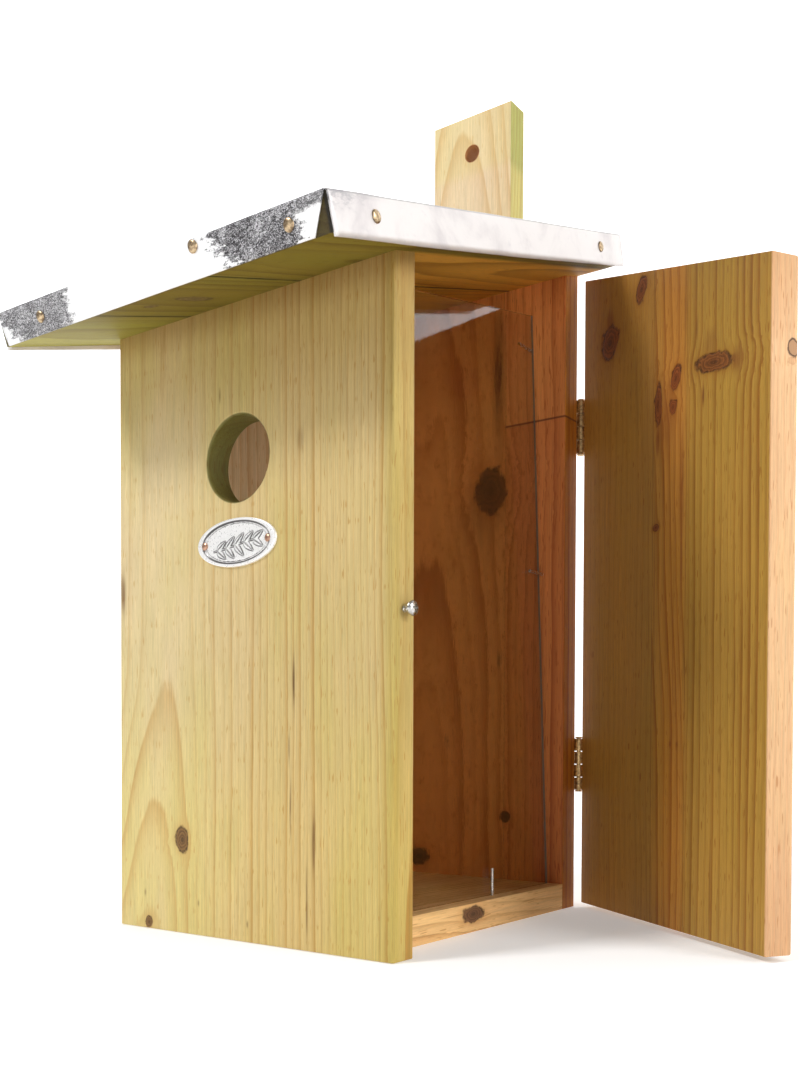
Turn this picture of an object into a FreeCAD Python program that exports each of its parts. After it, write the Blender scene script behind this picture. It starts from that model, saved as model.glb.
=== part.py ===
import FreeCAD, Part
import math
import os
import re

import Sketcher

# Observation nest box: a board box with a sloping plank roof under a folded zinc sheet, a hanging
# batten behind it, a clear pane in the open side and a hinged side door over that opening.
# Frame: +Z up, the front faces -Y, the door is on the +X side, and the origin is the centre of the
# underside. The door is drawn in its own frame on the hinge axis and then turned to its open pose.

SIZES = [
    # boards
    ("box_width", 150.0),
    ("box_depth", 160.0),
    ("front_height", 252.0),
    ("board_thickness", 12.0),
    ("roof_slope", 18.3),
    ("board_edge_round", 0.8),
    # entrance hole
    ("entrance_radius", 17.0),
    ("entrance_height", 191.0),
    ("entrance_offset", -3.5),
    ("entrance_round", 1.2),
    # roof
    ("roof_front_overhang", 45.5),
    ("roof_side_overhang", 11.0),
    ("roof_rear_clearance", 0.3),
    ("middle_plank_width", 60.0),
    ("plank_gap", 0.4),
    ("plank_thickness", 12.0),
    ("sheet_thickness", 0.7),
    ("sheet_corner_relief", 7.0),
    ("sheet_side_drop", 1.2),
    ("sheet_nail_right_inset", 16.0),
    ("sheet_nail_left_inset", 26.0),
    ("sheet_nail_middle_offset", 27.0),
    ("sheet_nail_side_inset", 23.5),
    ("sheet_nail_rear_inset", 8.0),
    # hanging batten
    ("batten_width", 47.0),
    ("batten_thickness", 12.0),
    ("batten_overlap", 155.0),
    ("batten_rise", 96.5),
    ("hanging_hole_radius", 4.25),
    ("hanging_hole_drop", 19.0),
    # clear pane
    ("pane_thickness", 2.0),
    ("pane_bottom_inset", 7.5),
    ("pane_lean", 2.1),
    ("pane_edge_clearance", 1.5),
    ("pane_rear_drop", 15.0),
    ("pane_roof_clearance", 1.4),
    ("pin_radius", 0.7),
    ("pin_reach", 12.0),
    ("pin_depth", 8.0),
    ("pin_clearance", 0.2),
    ("pin_height", 161.0),
    ("pin_top_drop", 32.0),
    ("sill_pin_setback", 84.0),
    # door
    ("door_side_gap", 1.0),
    ("door_front_gap", 3.0),
    ("door_bottom_gap", 2.0),
    ("door_top_gap", 2.5),
    ("door_outer_round", 1.8),
    ("door_open_angle", 55.0),
    # hinges
    ("hinge_board_clearance", 0.5),
    ("hinge_length", 25.0),
    ("hinge_end_distance", 69.4),
    ("knuckle_radius", 2.3),
    ("knuckle_gap", 0.4),
    ("hinge_pin_radius", 1.0),
    ("hinge_pin_clearance", 0.05),
    ("hinge_pin_head_radius", 1.7),
    ("hinge_pin_head_height", 0.7),
    ("hinge_pin_end_gap", 0.2),
    ("leaf_thickness", 1.0),
    ("leaf_width", 10.0),
    ("leaf_knuckle_gap", 0.4),
    ("leaf_screw_distance", 6.6),
    ("leaf_screw_spacing", 13.0),
    # wood screws and nails
    ("hinge_screw_radius", 1.1),
    ("hinge_screw_length", 10.0),
    ("hinge_screw_head_radius", 2.1),
    ("hinge_screw_head_height", 0.9),
    ("batten_screw_radius", 1.75),
    ("batten_screw_length", 20.0),
    ("batten_screw_head_radius", 3.4),
    ("batten_screw_head_height", 2.2),
    ("batten_screw_spacing", 50.0),
    ("batten_screw_inset", 30.0),
    ("catch_screw_radius", 1.5),
    ("catch_screw_height", 127.0),
    ("catch_screw_depth", 16.0),
    ("catch_head_clearance", 1.6),
    ("catch_screw_head_radius", 2.8),
    ("catch_screw_head_height", 2.2),
    ("sheet_nail_radius", 0.8),
    ("sheet_nail_length", 14.0),
    ("sheet_nail_head_radius", 2.2),
    ("sheet_nail_head_height", 0.9),
    ("board_nail_radius", 1.0),
    ("board_nail_length", 32.0),
    ("board_nail_head_radius", 1.9),
    ("board_nail_head_height", 0.8),
    ("board_nail_inset", 20.0),
    # oval plate
    ("plate_half_width", 21.7),
    ("plate_half_height", 9.6),
    ("plate_drop", 33.2),
    ("plate_thickness", 0.7),
    ("plate_rim_width", 1.3),
    ("plate_rim_height", 0.4),
    ("plate_nail_distance", 17.5),
    ("plate_nail_radius", 0.7),
    ("plate_nail_length", 8.0),
    ("plate_nail_head_radius", 1.6),
    ("plate_nail_head_height", 0.8),
    # turning hook on the door
    ("hook_thickness", 1.2),
    ("hook_width", 9.0),
    ("hook_clearance", 0.2),
    ("hook_pivot_distance", 15.0),
    ("hook_tail", 6.0),
    ("hook_slot_clearance", 0.4),
    ("hook_nose", 3.5),
    ("hook_screw_radius", 1.5),
    ("hook_screw_clearance", 0.05),
    ("hook_screw_depth", 10.0),
    ("hook_screw_head_radius", 3.0),
    ("hook_screw_head_height", 1.4),
]

# Positions worked out from the sizes, as expressions over the sheet's names.
HALF_WIDTH = "box_width / 2"
FRONT = "(-box_depth / 2)"
BACK = "(box_depth / 2)"
INNER_FRONT = f"({FRONT} + board_thickness)"
INNER_BACK = f"({BACK} - board_thickness)"
OPENING_X = f"({HALF_WIDTH} - board_thickness - door_side_gap)"
INNER_LEFT = f"(-{HALF_WIDTH} + board_thickness)"
RISE = "tan(roof_slope * 1deg)"
FLAT = "cos(roof_slope * 1deg)"

ROOF_FRONT = f"(-roof_front_overhang / {FLAT})"
ROOF_REAR = f"(box_depth / {FLAT} - sheet_thickness - roof_rear_clearance)"
ROOF_HALF = f"({HALF_WIDTH} + roof_side_overhang)"

SETBACK = "(knuckle_radius + hinge_board_clearance)"
HINGE_X = f"({OPENING_X} + door_side_gap / 2)"
HINGE_Y = f"({BACK} + {SETBACK})"
DOOR_INNER = "(door_side_gap / 2)"
DOOR_OUTER = f"({DOOR_INNER} + board_thickness)"
DOOR_REAR = f"(-{SETBACK})"
DOOR_WIDTH = "(box_depth - board_thickness - door_front_gap)"
DOOR_FREE = f"({DOOR_REAR} - {DOOR_WIDTH})"

REAR_HEIGHT = f"(front_height + {RISE} * box_depth)"
HINGE_CENTRES = {
    "upper": f"({REAR_HEIGHT} - door_top_gap - hinge_end_distance)",
    "lower": "hinge_end_distance",
}
BATTEN_BOTTOM = f"({REAR_HEIGHT} - batten_overlap)"
BATTEN_TOP = f"({REAR_HEIGHT} + batten_rise)"
PLATE_HEIGHT = "(entrance_height - plate_drop)"

CATCH_Y = f"({FRONT} + board_thickness / 2)"
CATCH_REACH = "(hook_clearance + hook_thickness + catch_head_clearance)"
HOOK_PIVOT_Y = f"({DOOR_FREE} + hook_pivot_distance)"
HOOK_REACH = f"(hook_pivot_distance + door_front_gap + board_thickness / 2)"

doc = FreeCAD.newDocument("NestBox")
sheet = doc.addObject("Spreadsheet::Sheet", "Sizes")
ALIASES = [name for name, value in SIZES]
ALIAS_WORD = re.compile(r"\b(" + "|".join(ALIASES) + r")\b")
for row, (alias, value) in enumerate(SIZES, start=1):
    sheet.set(f"A{row}", alias)
    sheet.set(f"B{row}", str(value))
    sheet.setAlias(f"B{row}", alias)
doc.recompute()


def bound(text):
    """An expression over the sheet's names, ready for setExpression."""
    return ALIAS_WORD.sub(r"Sizes.\1", text)


def bind(item, **expressions):
    """Bind properties of an object to expressions over the sheet's names."""
    for name, text in expressions.items():
        item.setExpression(name, bound(text))


def place(item, x="0", y="0", z="0", axis=None, angle=None):
    """Put an object at a point, turned about an axis by an angle in degrees."""
    if axis is not None:
        turn = FreeCAD.Rotation(FreeCAD.Vector(*axis), 1.0)
        item.Placement = FreeCAD.Placement(FreeCAD.Vector(), turn)
        item.setExpression("Placement.Rotation.Angle", bound(f"({angle}) * 1deg"))
    for letter, text in (("x", x), ("y", y), ("z", z)):
        item.setExpression(f"Placement.Base.{letter}", bound(text))
    return item


def add(kind, label):
    """A new document object with its own label."""
    item = doc.addObject(kind, label)
    item.Label = label
    return item


def box(label, length, width, height, x="0", y="0", z="0"):
    """A box whose low corner is at the point."""
    item = add("Part::Box", label)
    bind(item, Length=length, Width=width, Height=height)
    return place(item, x, y, z)


DIRECTIONS = {
    "+z": None,
    "-z": ((1, 0, 0), "180"),
    "+x": ((0, 1, 0), "90"),
    "-x": ((0, 1, 0), "-90"),
    "+y": ((1, 0, 0), "-90"),
    "-y": ((1, 0, 0), "90"),
}


def cylinder(label, radius, height, x="0", y="0", z="0", direction="+z"):
    """A cylinder that starts at the point and runs along the direction."""
    item = add("Part::Cylinder", label)
    bind(item, Radius=radius, Height=height)
    axis, angle = DIRECTIONS[direction] or (None, None)
    return place(item, x, y, z, axis, angle)


def cone(label, start_radius, end_radius, height, x="0", y="0", z="0", direction="+z"):
    """A cone frustum that starts at the point and runs along the direction."""
    item = add("Part::Cone", label)
    bind(item, Radius1=start_radius, Radius2=end_radius, Height=height)
    axis, angle = DIRECTIONS[direction] or (None, None)
    return place(item, x, y, z, axis, angle)


def fuse(label, shapes):
    """One solid from overlapping shapes."""
    item = add("Part::MultiFuse", label)
    item.Shapes = shapes
    return item


def cut(label, base, tool):
    """The base shape less the tool."""
    item = add("Part::Cut", label)
    item.Base = base
    item.Tool = tool
    return item


def group(label, shapes):
    """Separate solids that share one node."""
    item = add("Part::Compound", label)
    item.Links = shapes
    return item


def origin_plane(body, role):
    """The body's own origin plane with this role."""
    return [part for part in body.Origin.OriginFeatures if part.Role == role][0]


def outline(body, role, corners):
    """A closed outline on an origin plane, each corner held at its two expressions."""
    sketch = body.newObject("Sketcher::SketchObject", body.Label + "_outline")
    sketch.AttachmentSupport = [(origin_plane(body, role), "")]
    sketch.MapMode = "FlatFace"
    count = len(corners)
    start = [FreeCAD.Vector(10 * math.cos(2 * math.pi * k / count),
                            10 * math.sin(2 * math.pi * k / count), 0) for k in range(count)]
    for k in range(count):
        sketch.addGeometry(Part.LineSegment(start[k], start[(k + 1) % count]), False)
    for k in range(count):
        sketch.addConstraint(Sketcher.Constraint("Coincident", k, 2, (k + 1) % count, 1))
    for k, (across, up) in enumerate(corners):
        for kind, text, value in (("DistanceX", across, start[k].x), ("DistanceY", up, start[k].y)):
            index = sketch.addConstraint(Sketcher.Constraint(kind, -1, 1, k, 1, value))
            sketch.setExpression(f"Constraints[{index}]", bound(text))
    return sketch


def board(label, role, corners, thickness, reverse=False, both_ways=False):
    """A body padded from an outline on one of its origin planes."""
    body = add("PartDesign::Body", label)
    sketch = outline(body, role, corners)
    pad = body.newObject("PartDesign::Pad", label + "_pad")
    pad.Profile = sketch
    pad.Reversed = reverse
    pad.Midplane = both_ways
    bind(pad, Length=thickness)
    doc.recompute()
    return body


def round_edges(body, radius, chosen):
    """Fillet the edges of the body's last feature that the test picks out."""
    feature = body.Tip
    names = [f"Edge{k}" for k, edge in enumerate(feature.Shape.Edges, start=1) if chosen(edge)]
    if not names:
        raise RuntimeError(f"no edge to round on {body.Label}")
    fillet = body.newObject("PartDesign::Fillet", body.Label + "_round")
    fillet.Base = (feature, names)
    bind(fillet, Radius=radius)
    doc.recompute()


def bore_through(body, role, across, up, radius):
    """Pocket a round hole through the whole body, square to an origin plane."""
    before = body.Shape.Volume
    sketch = body.newObject("Sketcher::SketchObject", body.Label + "_hole")
    sketch.AttachmentSupport = [(origin_plane(body, role), "")]
    sketch.MapMode = "FlatFace"
    sketch.addGeometry(Part.Circle(FreeCAD.Vector(), FreeCAD.Vector(0, 0, 1), 5.0), False)
    for kind, text in (("DistanceX", across), ("DistanceY", up)):
        index = sketch.addConstraint(Sketcher.Constraint(kind, -1, 1, 0, 3, 1.0))
        sketch.setExpression(f"Constraints[{index}]", bound(text))
    index = sketch.addConstraint(Sketcher.Constraint("Radius", 0, 5.0))
    sketch.setExpression(f"Constraints[{index}]", bound(radius))
    pocket = body.newObject("PartDesign::Pocket", body.Label + "_pocket")
    pocket.Profile = sketch
    pocket.Type = "ThroughAll"
    pocket.Midplane = True
    doc.recompute()
    if body.Shape.Volume >= before:
        raise RuntimeError(f"the hole in {body.Label} cuts nothing")


def edge_ends(edge):
    """The two end points of an edge."""
    return edge.Vertexes[0].Point, edge.Vertexes[-1].Point


def upright(edge):
    """True for a straight vertical edge."""
    low, high = edge_ends(edge)
    return abs(low.x - high.x) < 0.01 and abs(low.y - high.y) < 0.01 and abs(low.z - high.z) > 1


def roof_underside(distance_back):
    """Height of the roof's underside at a distance behind the front face."""
    return f"(front_height + {RISE} * ({distance_back}))"


def front_panel():
    """Front board over the full width, its top cut to the roof's slope, with the entrance hole."""
    top_back = f"front_height + {RISE} * board_thickness"
    body = board("front_panel", "YZ_Plane",
                 [("0", "0"), ("board_thickness", "0"), ("board_thickness", top_back), ("0", "front_height")],
                 "box_width", both_ways=True)
    round_edges(body, "board_edge_round", upright)
    bore_through(body, "XZ_Plane", "entrance_offset", "entrance_height", "entrance_radius")
    radius = float(sheet.get("entrance_radius"))
    round_edges(body, "entrance_round",
                lambda edge: hasattr(edge.Curve, "Radius") and abs(edge.Curve.Radius - radius) < 0.01)
    return place(body, y=FRONT)


def back_panel():
    """Back board between the left side and the door."""
    inner = "box_depth - board_thickness"
    corners = [(inner, "0"), ("box_depth", "0"),
               ("box_depth", roof_underside("box_depth")), (inner, roof_underside(inner))]
    body = board("back_panel", "YZ_Plane", corners, f"{OPENING_X} - {INNER_LEFT}")
    round_edges(body, "board_edge_round", lambda edge: upright(edge) and edge_ends(edge)[0].x > 1)
    return place(body, x=INNER_LEFT, y=FRONT)


def left_side_panel():
    """Fixed side board behind the front board, outside the back board and the floor."""
    corners = [("board_thickness", "0"), ("box_depth", "0"),
               ("box_depth", roof_underside("box_depth")),
               ("board_thickness", roof_underside("board_thickness"))]
    body = board("left_side_panel", "YZ_Plane", corners, "board_thickness")
    round_edges(body, "board_edge_round",
                lambda edge: upright(edge) and edge_ends(edge)[0].x < 1 and edge_ends(edge)[0].y > 20)
    return place(body, x=f"-{HALF_WIDTH}", y=FRONT)


def floor_panel():
    """Floor board; its right edge is the sill under the door opening."""
    return box("floor_panel", f"{OPENING_X} - {INNER_LEFT}", f"{INNER_BACK} - {INNER_FRONT}",
               "board_thickness", INNER_LEFT, INNER_FRONT)


def on_roof(item, x="0", along="0", above="0"):
    """Put an object in the roof's frame: across, up the slope and off the underside."""
    y = f"{FRONT} + ({along}) * {FLAT} - ({above}) * sin(roof_slope * 1deg)"
    z = f"front_height + ({along}) * sin(roof_slope * 1deg) + ({above}) * {FLAT}"
    return place(item, x, y, z, (1, 0, 0), "roof_slope")


def roof_planks():
    """Three planks side by side that run up the slope."""
    edge = "(middle_plank_width / 2)"
    side_width = f"{ROOF_HALF} - {edge} - plank_gap"
    spans = [
        ("roof_plank_left", f"-{ROOF_HALF}", side_width),
        ("roof_plank_middle", f"-{edge}", "middle_plank_width"),
        ("roof_plank_right", f"{edge} + plank_gap", side_width),
    ]
    planks = []
    for label, x, width in spans:
        plank = box(label, width, f"{ROOF_REAR} - {ROOF_FRONT}", "plank_thickness")
        planks.append(on_roof(plank, x, ROOF_FRONT))
    return planks


def roof_sheet():
    """Zinc sheet over the planks, folded down on every side and open at the corners."""
    outer_half = f"({ROOF_HALF} + sheet_thickness)"
    start = f"({ROOF_FRONT} - sheet_thickness)"
    end = f"({ROOF_REAR} + sheet_thickness)"
    blank = box("roof_sheet_blank", f"2 * {outer_half}", f"{end} - {start}",
                "plank_thickness + sheet_thickness", f"-{outer_half}", start)
    skirts = [box(f"roof_sheet_skirt_{side}", "sheet_thickness", f"{end} - {start}",
                  "plank_thickness + sheet_side_drop", x, start, "-sheet_side_drop")
              for side, x in (("left", f"-{outer_half}"), ("right", ROOF_HALF))]
    hollow = box("roof_sheet_hollow", f"2 * {ROOF_HALF}", f"{ROOF_REAR} - {ROOF_FRONT}",
                 "2 * plank_thickness", f"-{ROOF_HALF}", ROOF_FRONT, "-plank_thickness")
    lean = "atan(sheet_corner_relief / plank_thickness)"
    length = "(2 * sheet_corner_relief)"
    reliefs = []
    for end_name, y in (("front", start), ("rear", ROOF_REAR)):
        for side, foot in (("left", f"-{ROOF_HALF} + sheet_corner_relief - {length} * cos({lean})"),
                           ("right", f"{ROOF_HALF} - sheet_corner_relief")):
            low = f"-{length} * sin({lean})" if side == "left" else "0"
            relief = box(f"roof_sheet_relief_{side}_{end_name}", length, "sheet_thickness",
                         f"plank_thickness / cos({lean})")
            sign = "-1" if side == "left" else "1"
            reliefs.append(place(relief, foot, y, low, (0, 1, 0), f"({sign}) * {lean} / 1deg"))
    folded = cut("roof_sheet_folded", fuse("roof_sheet_outer", [blank] + skirts), hollow)
    return on_roof(cut("roof_sheet", folded, fuse("roof_sheet_reliefs", reliefs)))


def headed_nail(label, size, x, y, z, direction):
    """A round nail: head on the surface at the point, shank running in along the direction."""
    head_height = f"{size}_head_height"
    back = {"+x": f"{x} - {head_height}", "-x": f"{x} + {head_height}"}.get(direction, x)
    side = {"+y": f"{y} - {head_height}", "-y": f"{y} + {head_height}"}.get(direction, y)
    up = {"+z": f"{z} - {head_height}", "-z": f"{z} + {head_height}"}.get(direction, z)
    head = cone(f"{label}_head", f"0.7 * {size}_head_radius", f"{size}_head_radius", head_height,
                back, side, up, direction)
    shank = cylinder(f"{label}_shank", f"{size}_radius", f"{size}_length + {head_height} / 2",
                     back.replace(head_height, f"{head_height} / 2"),
                     side.replace(head_height, f"{head_height} / 2"),
                     up.replace(head_height, f"{head_height} / 2"), direction)
    return fuse(label, [head, shank])


def flush_nail(label, size, x, y, z, direction):
    """A nail whose head is driven level with the surface at the point."""
    head = cylinder(f"{label}_head", f"{size}_head_radius", f"{size}_head_height", x, y, z, direction)
    shank = cylinder(f"{label}_shank", f"{size}_radius", f"{size}_length", x, y, z, direction)
    return fuse(label, [head, shank])


def roof_sheet_nails():
    """Round-head nails through the sheet's folded edges into the planks' edges."""
    outside = f"({ROOF_HALF} + sheet_thickness)"
    front = f"({ROOF_FRONT} - sheet_thickness)"
    rear = f"({ROOF_REAR} + sheet_thickness)"
    middle = "plank_thickness / 2"
    high = "plank_thickness + sheet_thickness - 1.2 * sheet_nail_head_radius"
    spots = []
    for x, z in ((f"{ROOF_HALF} - sheet_nail_right_inset", middle),
                 ("sheet_nail_middle_offset", high),
                 (f"sheet_nail_left_inset - {ROOF_HALF}", middle)):
        spots.append((x, front, z, "+y"))
    for along in (f"{ROOF_FRONT} + sheet_nail_side_inset", f"{ROOF_REAR} - sheet_nail_side_inset"):
        spots.append((outside, along, middle, "-x"))
        spots.append((f"-{outside}", along, middle, "+x"))
    for x in (f"{ROOF_HALF} - sheet_nail_rear_inset", f"sheet_nail_rear_inset - {ROOF_HALF}"):
        spots.append((x, rear, middle, "-y"))
    nails = [headed_nail(f"sheet_nail_{k}", "sheet_nail", x, y, z, direction)
             for k, (x, y, z, direction) in enumerate(spots)]
    return on_roof(group("roof_sheet_nails", nails))


def roof_plank_nails():
    """Nails down through the planks into the top edges of the front and back boards.

    They lean back with the slope, so they start near the front of each board's edge."""
    side = f"({ROOF_HALF} + middle_plank_width / 2 - board_thickness) / 2"
    nails = []
    for k, x in enumerate((f"-{side}", "0", side)):
        for end, along in (("front", f"(board_thickness / 4) / {FLAT}"),
                           ("back", f"(box_depth - 3 * board_thickness / 4) / {FLAT}")):
            nails.append(flush_nail(f"plank_nail_{k}_{end}", "board_nail", x, along, "plank_thickness", "-z"))
    return on_roof(group("roof_plank_nails", nails))


def hanging_batten():
    """Batten behind the back board that rises above the roof, with the hanging hole."""
    strip = box("batten_strip", "batten_width", "batten_thickness", "batten_rise + batten_overlap",
                "-batten_width / 2", BACK, BATTEN_BOTTOM)
    hole = cylinder("batten_hole", "hanging_hole_radius", "2 * batten_thickness",
                    "0", f"{BACK} - batten_thickness / 2", f"{BATTEN_TOP} - hanging_hole_drop", "+y")
    return cut("hanging_batten", strip, hole)


def batten_screws():
    """Countersunk screws from behind through the batten into the back board."""
    behind = f"{BACK} + batten_thickness"
    screws = []
    for k in range(3):
        z = f"{BATTEN_BOTTOM} + batten_screw_inset + {k} * batten_screw_spacing"
        head = cone(f"batten_screw_head_{k}", "batten_screw_head_radius", "batten_screw_radius",
                    "batten_screw_head_height", "0", behind, z, "-y")
        shank = cylinder(f"batten_screw_shank_{k}", "batten_screw_radius", "batten_screw_length",
                         "0", behind, z, "-y")
        whole = fuse(f"batten_screw_whole_{k}", [head, shank])
        slot = box(f"batten_screw_slot_{k}", "2 * batten_screw_head_radius", "0.9", "0.8",
                   "-batten_screw_head_radius", f"{behind} - 0.8", f"{z} - 0.4")
        screws.append(cut(f"batten_screw_{k}", whole, slot))
    return group("batten_screws", screws)


def side_panel_nails():
    """Nails through the left board into the edges of the floor and the back board."""
    outside = f"-{HALF_WIDTH}"
    spots = [(f"{INNER_FRONT} + board_nail_inset", "board_thickness / 2"),
             (f"{INNER_BACK} - board_nail_inset", "board_thickness / 2"),
             (f"{BACK} - board_thickness / 2", "front_height / 4"),
             (f"{BACK} - board_thickness / 2", "3 * front_height / 4")]
    nails = [flush_nail(f"side_nail_{k}", "board_nail", outside, y, z, "+x")
             for k, (y, z) in enumerate(spots)]
    return group("side_panel_nails", nails)


def floor_nails():
    """Nails through the back board into the floor's rear edge."""
    spots = (f"{INNER_LEFT} + 1.5 * board_nail_inset", f"{OPENING_X} - board_nail_inset")
    nails = [flush_nail(f"floor_nail_{k}", "board_nail", x, BACK, "board_thickness / 2", "-y")
             for k, x in enumerate(spots)]
    return group("floor_nails", nails)


def window_pane():
    """Clear pane that stands on the floor inside the door opening and leans inwards."""
    front = f"({INNER_FRONT} + pane_edge_clearance)"
    rear = f"({INNER_BACK} - pane_edge_clearance)"
    front_top = roof_underside("board_thickness + pane_edge_clearance")
    rear_top = roof_underside("box_depth - board_thickness - pane_edge_clearance")
    corners = [(front, "0"), (rear, "0"), (rear, f"{rear_top} - board_thickness - pane_rear_drop"),
               (front, f"{front_top} - board_thickness - pane_roof_clearance")]
    body = board("window_pane", "YZ_Plane", corners, "pane_thickness")
    return place(body, f"{OPENING_X} - pane_bottom_inset - pane_thickness", "0", "board_thickness",
                 (0, 1, 0), "-pane_lean")


def window_pins():
    """Headless pins that hold the pane: three outside it, two inside near its top."""
    lean = "tan(pane_lean * 1deg)"
    offset = "pin_radius + pin_clearance"

    def pane_face(height, outside):
        foot = f"{OPENING_X} - pane_bottom_inset"
        face = f"{foot} - {lean} * ({height} - board_thickness)"
        return f"{face} + {offset}" if outside else f"{face} - pane_thickness - ({offset})"

    reach = "pin_reach + pin_depth"
    rear_start = f"{INNER_BACK} + pin_depth"
    front_start = f"{INNER_FRONT} - pin_depth"
    rear_top = f"({roof_underside('box_depth - board_thickness')} - pin_top_drop)"
    front_top = f"({roof_underside('board_thickness')} - pin_top_drop)"
    pins = [
        cylinder("pin_sill", "pin_radius", reach, pane_face("board_thickness", True),
                 f"{INNER_FRONT} + sill_pin_setback", "board_thickness - pin_depth"),
        cylinder("pin_rear", "pin_radius", reach, pane_face("pin_height", True),
                 rear_start, "pin_height", "-y"),
        cylinder("pin_front", "pin_radius", reach, pane_face("pin_height", True),
                 front_start, "pin_height", "+y"),
        cylinder("pin_rear_top", "pin_radius", reach, pane_face(rear_top, False),
                 rear_start, rear_top, "-y"),
        cylinder("pin_front_top", "pin_radius", reach, pane_face(front_top, False),
                 front_start, front_top, "+y"),
    ]
    return group("window_pins", pins)


def ellipse_slab(label, shrink, start, thickness):
    """An oval slab on the front face, smaller than the plate by the shrink all round."""
    curve = add("Part::Ellipse", label + "_curve")
    bind(curve, MajorRadius=f"plate_half_width - {shrink}", MinorRadius=f"plate_half_height - {shrink}")
    place(curve, "entrance_offset", f"{FRONT} - ({start})", PLATE_HEIGHT, (1, 0, 0), "90")
    slab = add("Part::Extrusion", label)
    slab.Base = curve
    slab.DirMode = "Custom"
    slab.Dir = FreeCAD.Vector(0, -1, 0)
    slab.Solid = True
    bind(slab, LengthFwd=thickness)
    return slab


def name_plate():
    """Oval metal plate with a raised rim under the entrance."""
    blank = ellipse_slab("plate_blank", "0", "0", "plate_thickness + plate_rim_height")
    hollow = ellipse_slab("plate_hollow", "plate_rim_width", "plate_thickness", "2 * plate_rim_height")
    return cut("name_plate", blank, hollow)


def name_plate_nails():
    """Two small nails at the ends of the oval plate."""
    nails = [headed_nail(f"plate_nail_{k}", "plate_nail", f"entrance_offset + ({side}) * plate_nail_distance",
                         f"{FRONT} - plate_thickness", PLATE_HEIGHT, "+y")
             for k, side in enumerate((-1, 1))]
    return group("name_plate_nails", nails)


def catch_screw():
    """Screw in the front board's right edge whose head stands off for the hook."""
    start = f"{HALF_WIDTH} - catch_screw_depth"
    shank = cylinder("catch_shank", "catch_screw_radius", f"catch_screw_depth + {CATCH_REACH}",
                     start, CATCH_Y, "catch_screw_height", "+x")
    head = cylinder("catch_head", "catch_screw_head_radius", "catch_screw_head_height",
                    f"{HALF_WIDTH} + {CATCH_REACH}", CATCH_Y, "catch_screw_height", "+x")
    dome = add("Part::Fillet", "catch_dome")
    dome.Base = head
    doc.recompute()
    top = float(sheet.get("catch_screw_head_height")) * 0.6
    far = max(edge.BoundBox.XMax for edge in head.Shape.Edges)
    rims = [k for k, edge in enumerate(head.Shape.Edges, start=1) if edge.BoundBox.XMin > far - 0.01]
    dome.Edges = [(k, top, top) for k in rims]
    whole = fuse("catch_whole", [shank, dome])
    face = f"{HALF_WIDTH} + {CATCH_REACH} + catch_screw_head_height - 0.9"
    bars = [box("catch_bar_level", "1", "2.8", "0.6", face, f"{CATCH_Y} - 1.4", "catch_screw_height - 0.3"),
            box("catch_bar_upright", "1", "0.6", "2.8", face, f"{CATCH_Y} - 0.3", "catch_screw_height - 1.4")]
    return cut("catch_screw", whole, fuse("catch_bars", bars))


KNUCKLES = 4


def hinge_leaf(label, centre, on_door):
    """A hinge leaf: plate on the rear face, two of the four knuckles, and two screw holes.

    It is drawn about the hinge axis, with the door's plate on the +X side of it."""
    side = 1 if on_door else -1
    pitch = f"(hinge_length + knuckle_gap) / {KNUCKLES}"
    knuckle_height = f"({pitch} - knuckle_gap)"
    bottom = f"({centre} - hinge_length / 2)"
    face = f"(-{SETBACK})"
    near = "(knuckle_radius + leaf_knuckle_gap)"
    plate_x = near if on_door else "-leaf_width"
    pieces = [box(f"{label}_plate", f"leaf_width - {near}", "leaf_thickness", "hinge_length",
                  plate_x, face, bottom)]
    first = 0 if on_door else 1
    for k in range(first, KNUCKLES, 2):
        z = f"{bottom} + {k} * {pitch}"
        pieces.append(cylinder(f"{label}_knuckle_{k}", "knuckle_radius", knuckle_height, "0", "0", z))
        tab_x = "0" if on_door else f"-{near} - 0.5"
        pieces.append(box(f"{label}_tab_{k}", f"{near} + 0.5", "leaf_thickness", knuckle_height,
                          tab_x, face, z))
    clearance = "hinge_pin_clearance" if on_door else "0"
    tools = [cylinder(f"{label}_bore", f"hinge_pin_radius + {clearance}", "hinge_length + 2",
                      "0", "0", f"{bottom} - 1")]
    for k, shift in enumerate((-1, 1)):
        z = f"{centre} + ({shift}) * leaf_screw_spacing / 2"
        tools.append(cylinder(f"{label}_hole_{k}", "hinge_screw_radius", "3 * leaf_thickness",
                              f"({side}) * leaf_screw_distance", f"{face} - leaf_thickness", z, "+y"))
    return cut(label, fuse(f"{label}_whole", pieces), fuse(f"{label}_tools", tools))


def hinge_pin(label, centre):
    """Hinge pin with a small head at each end."""
    bottom = f"({centre} - hinge_length / 2)"
    over = "(hinge_pin_head_height + hinge_pin_end_gap)"
    rod = cylinder(f"{label}_rod", "hinge_pin_radius", f"hinge_length + 2 * {over}",
                   "0", "0", f"{bottom} - {over}")
    heads = [cylinder(f"{label}_head_{k}", "hinge_pin_head_radius", "hinge_pin_head_height", "0", "0", z)
             for k, z in enumerate((f"{bottom} - {over}", f"{bottom} + hinge_length + hinge_pin_end_gap"))]
    return fuse(label, [rod] + heads)


def hinge_screws(label, on_door):
    """Round-head screws through the leaves into the wood, four on each side of the axis."""
    side = 1 if on_door else -1
    screws = []
    for k, centre in enumerate(HINGE_CENTRES.values()):
        for m, shift in enumerate((-1, 1)):
            screws.append(headed_nail(f"{label}_{k}_{m}", "hinge_screw", f"({side}) * leaf_screw_distance",
                                      f"leaf_thickness - {SETBACK}",
                                      f"{centre} + ({shift}) * leaf_screw_spacing / 2", "-y"))
    return group(label, screws)


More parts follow.
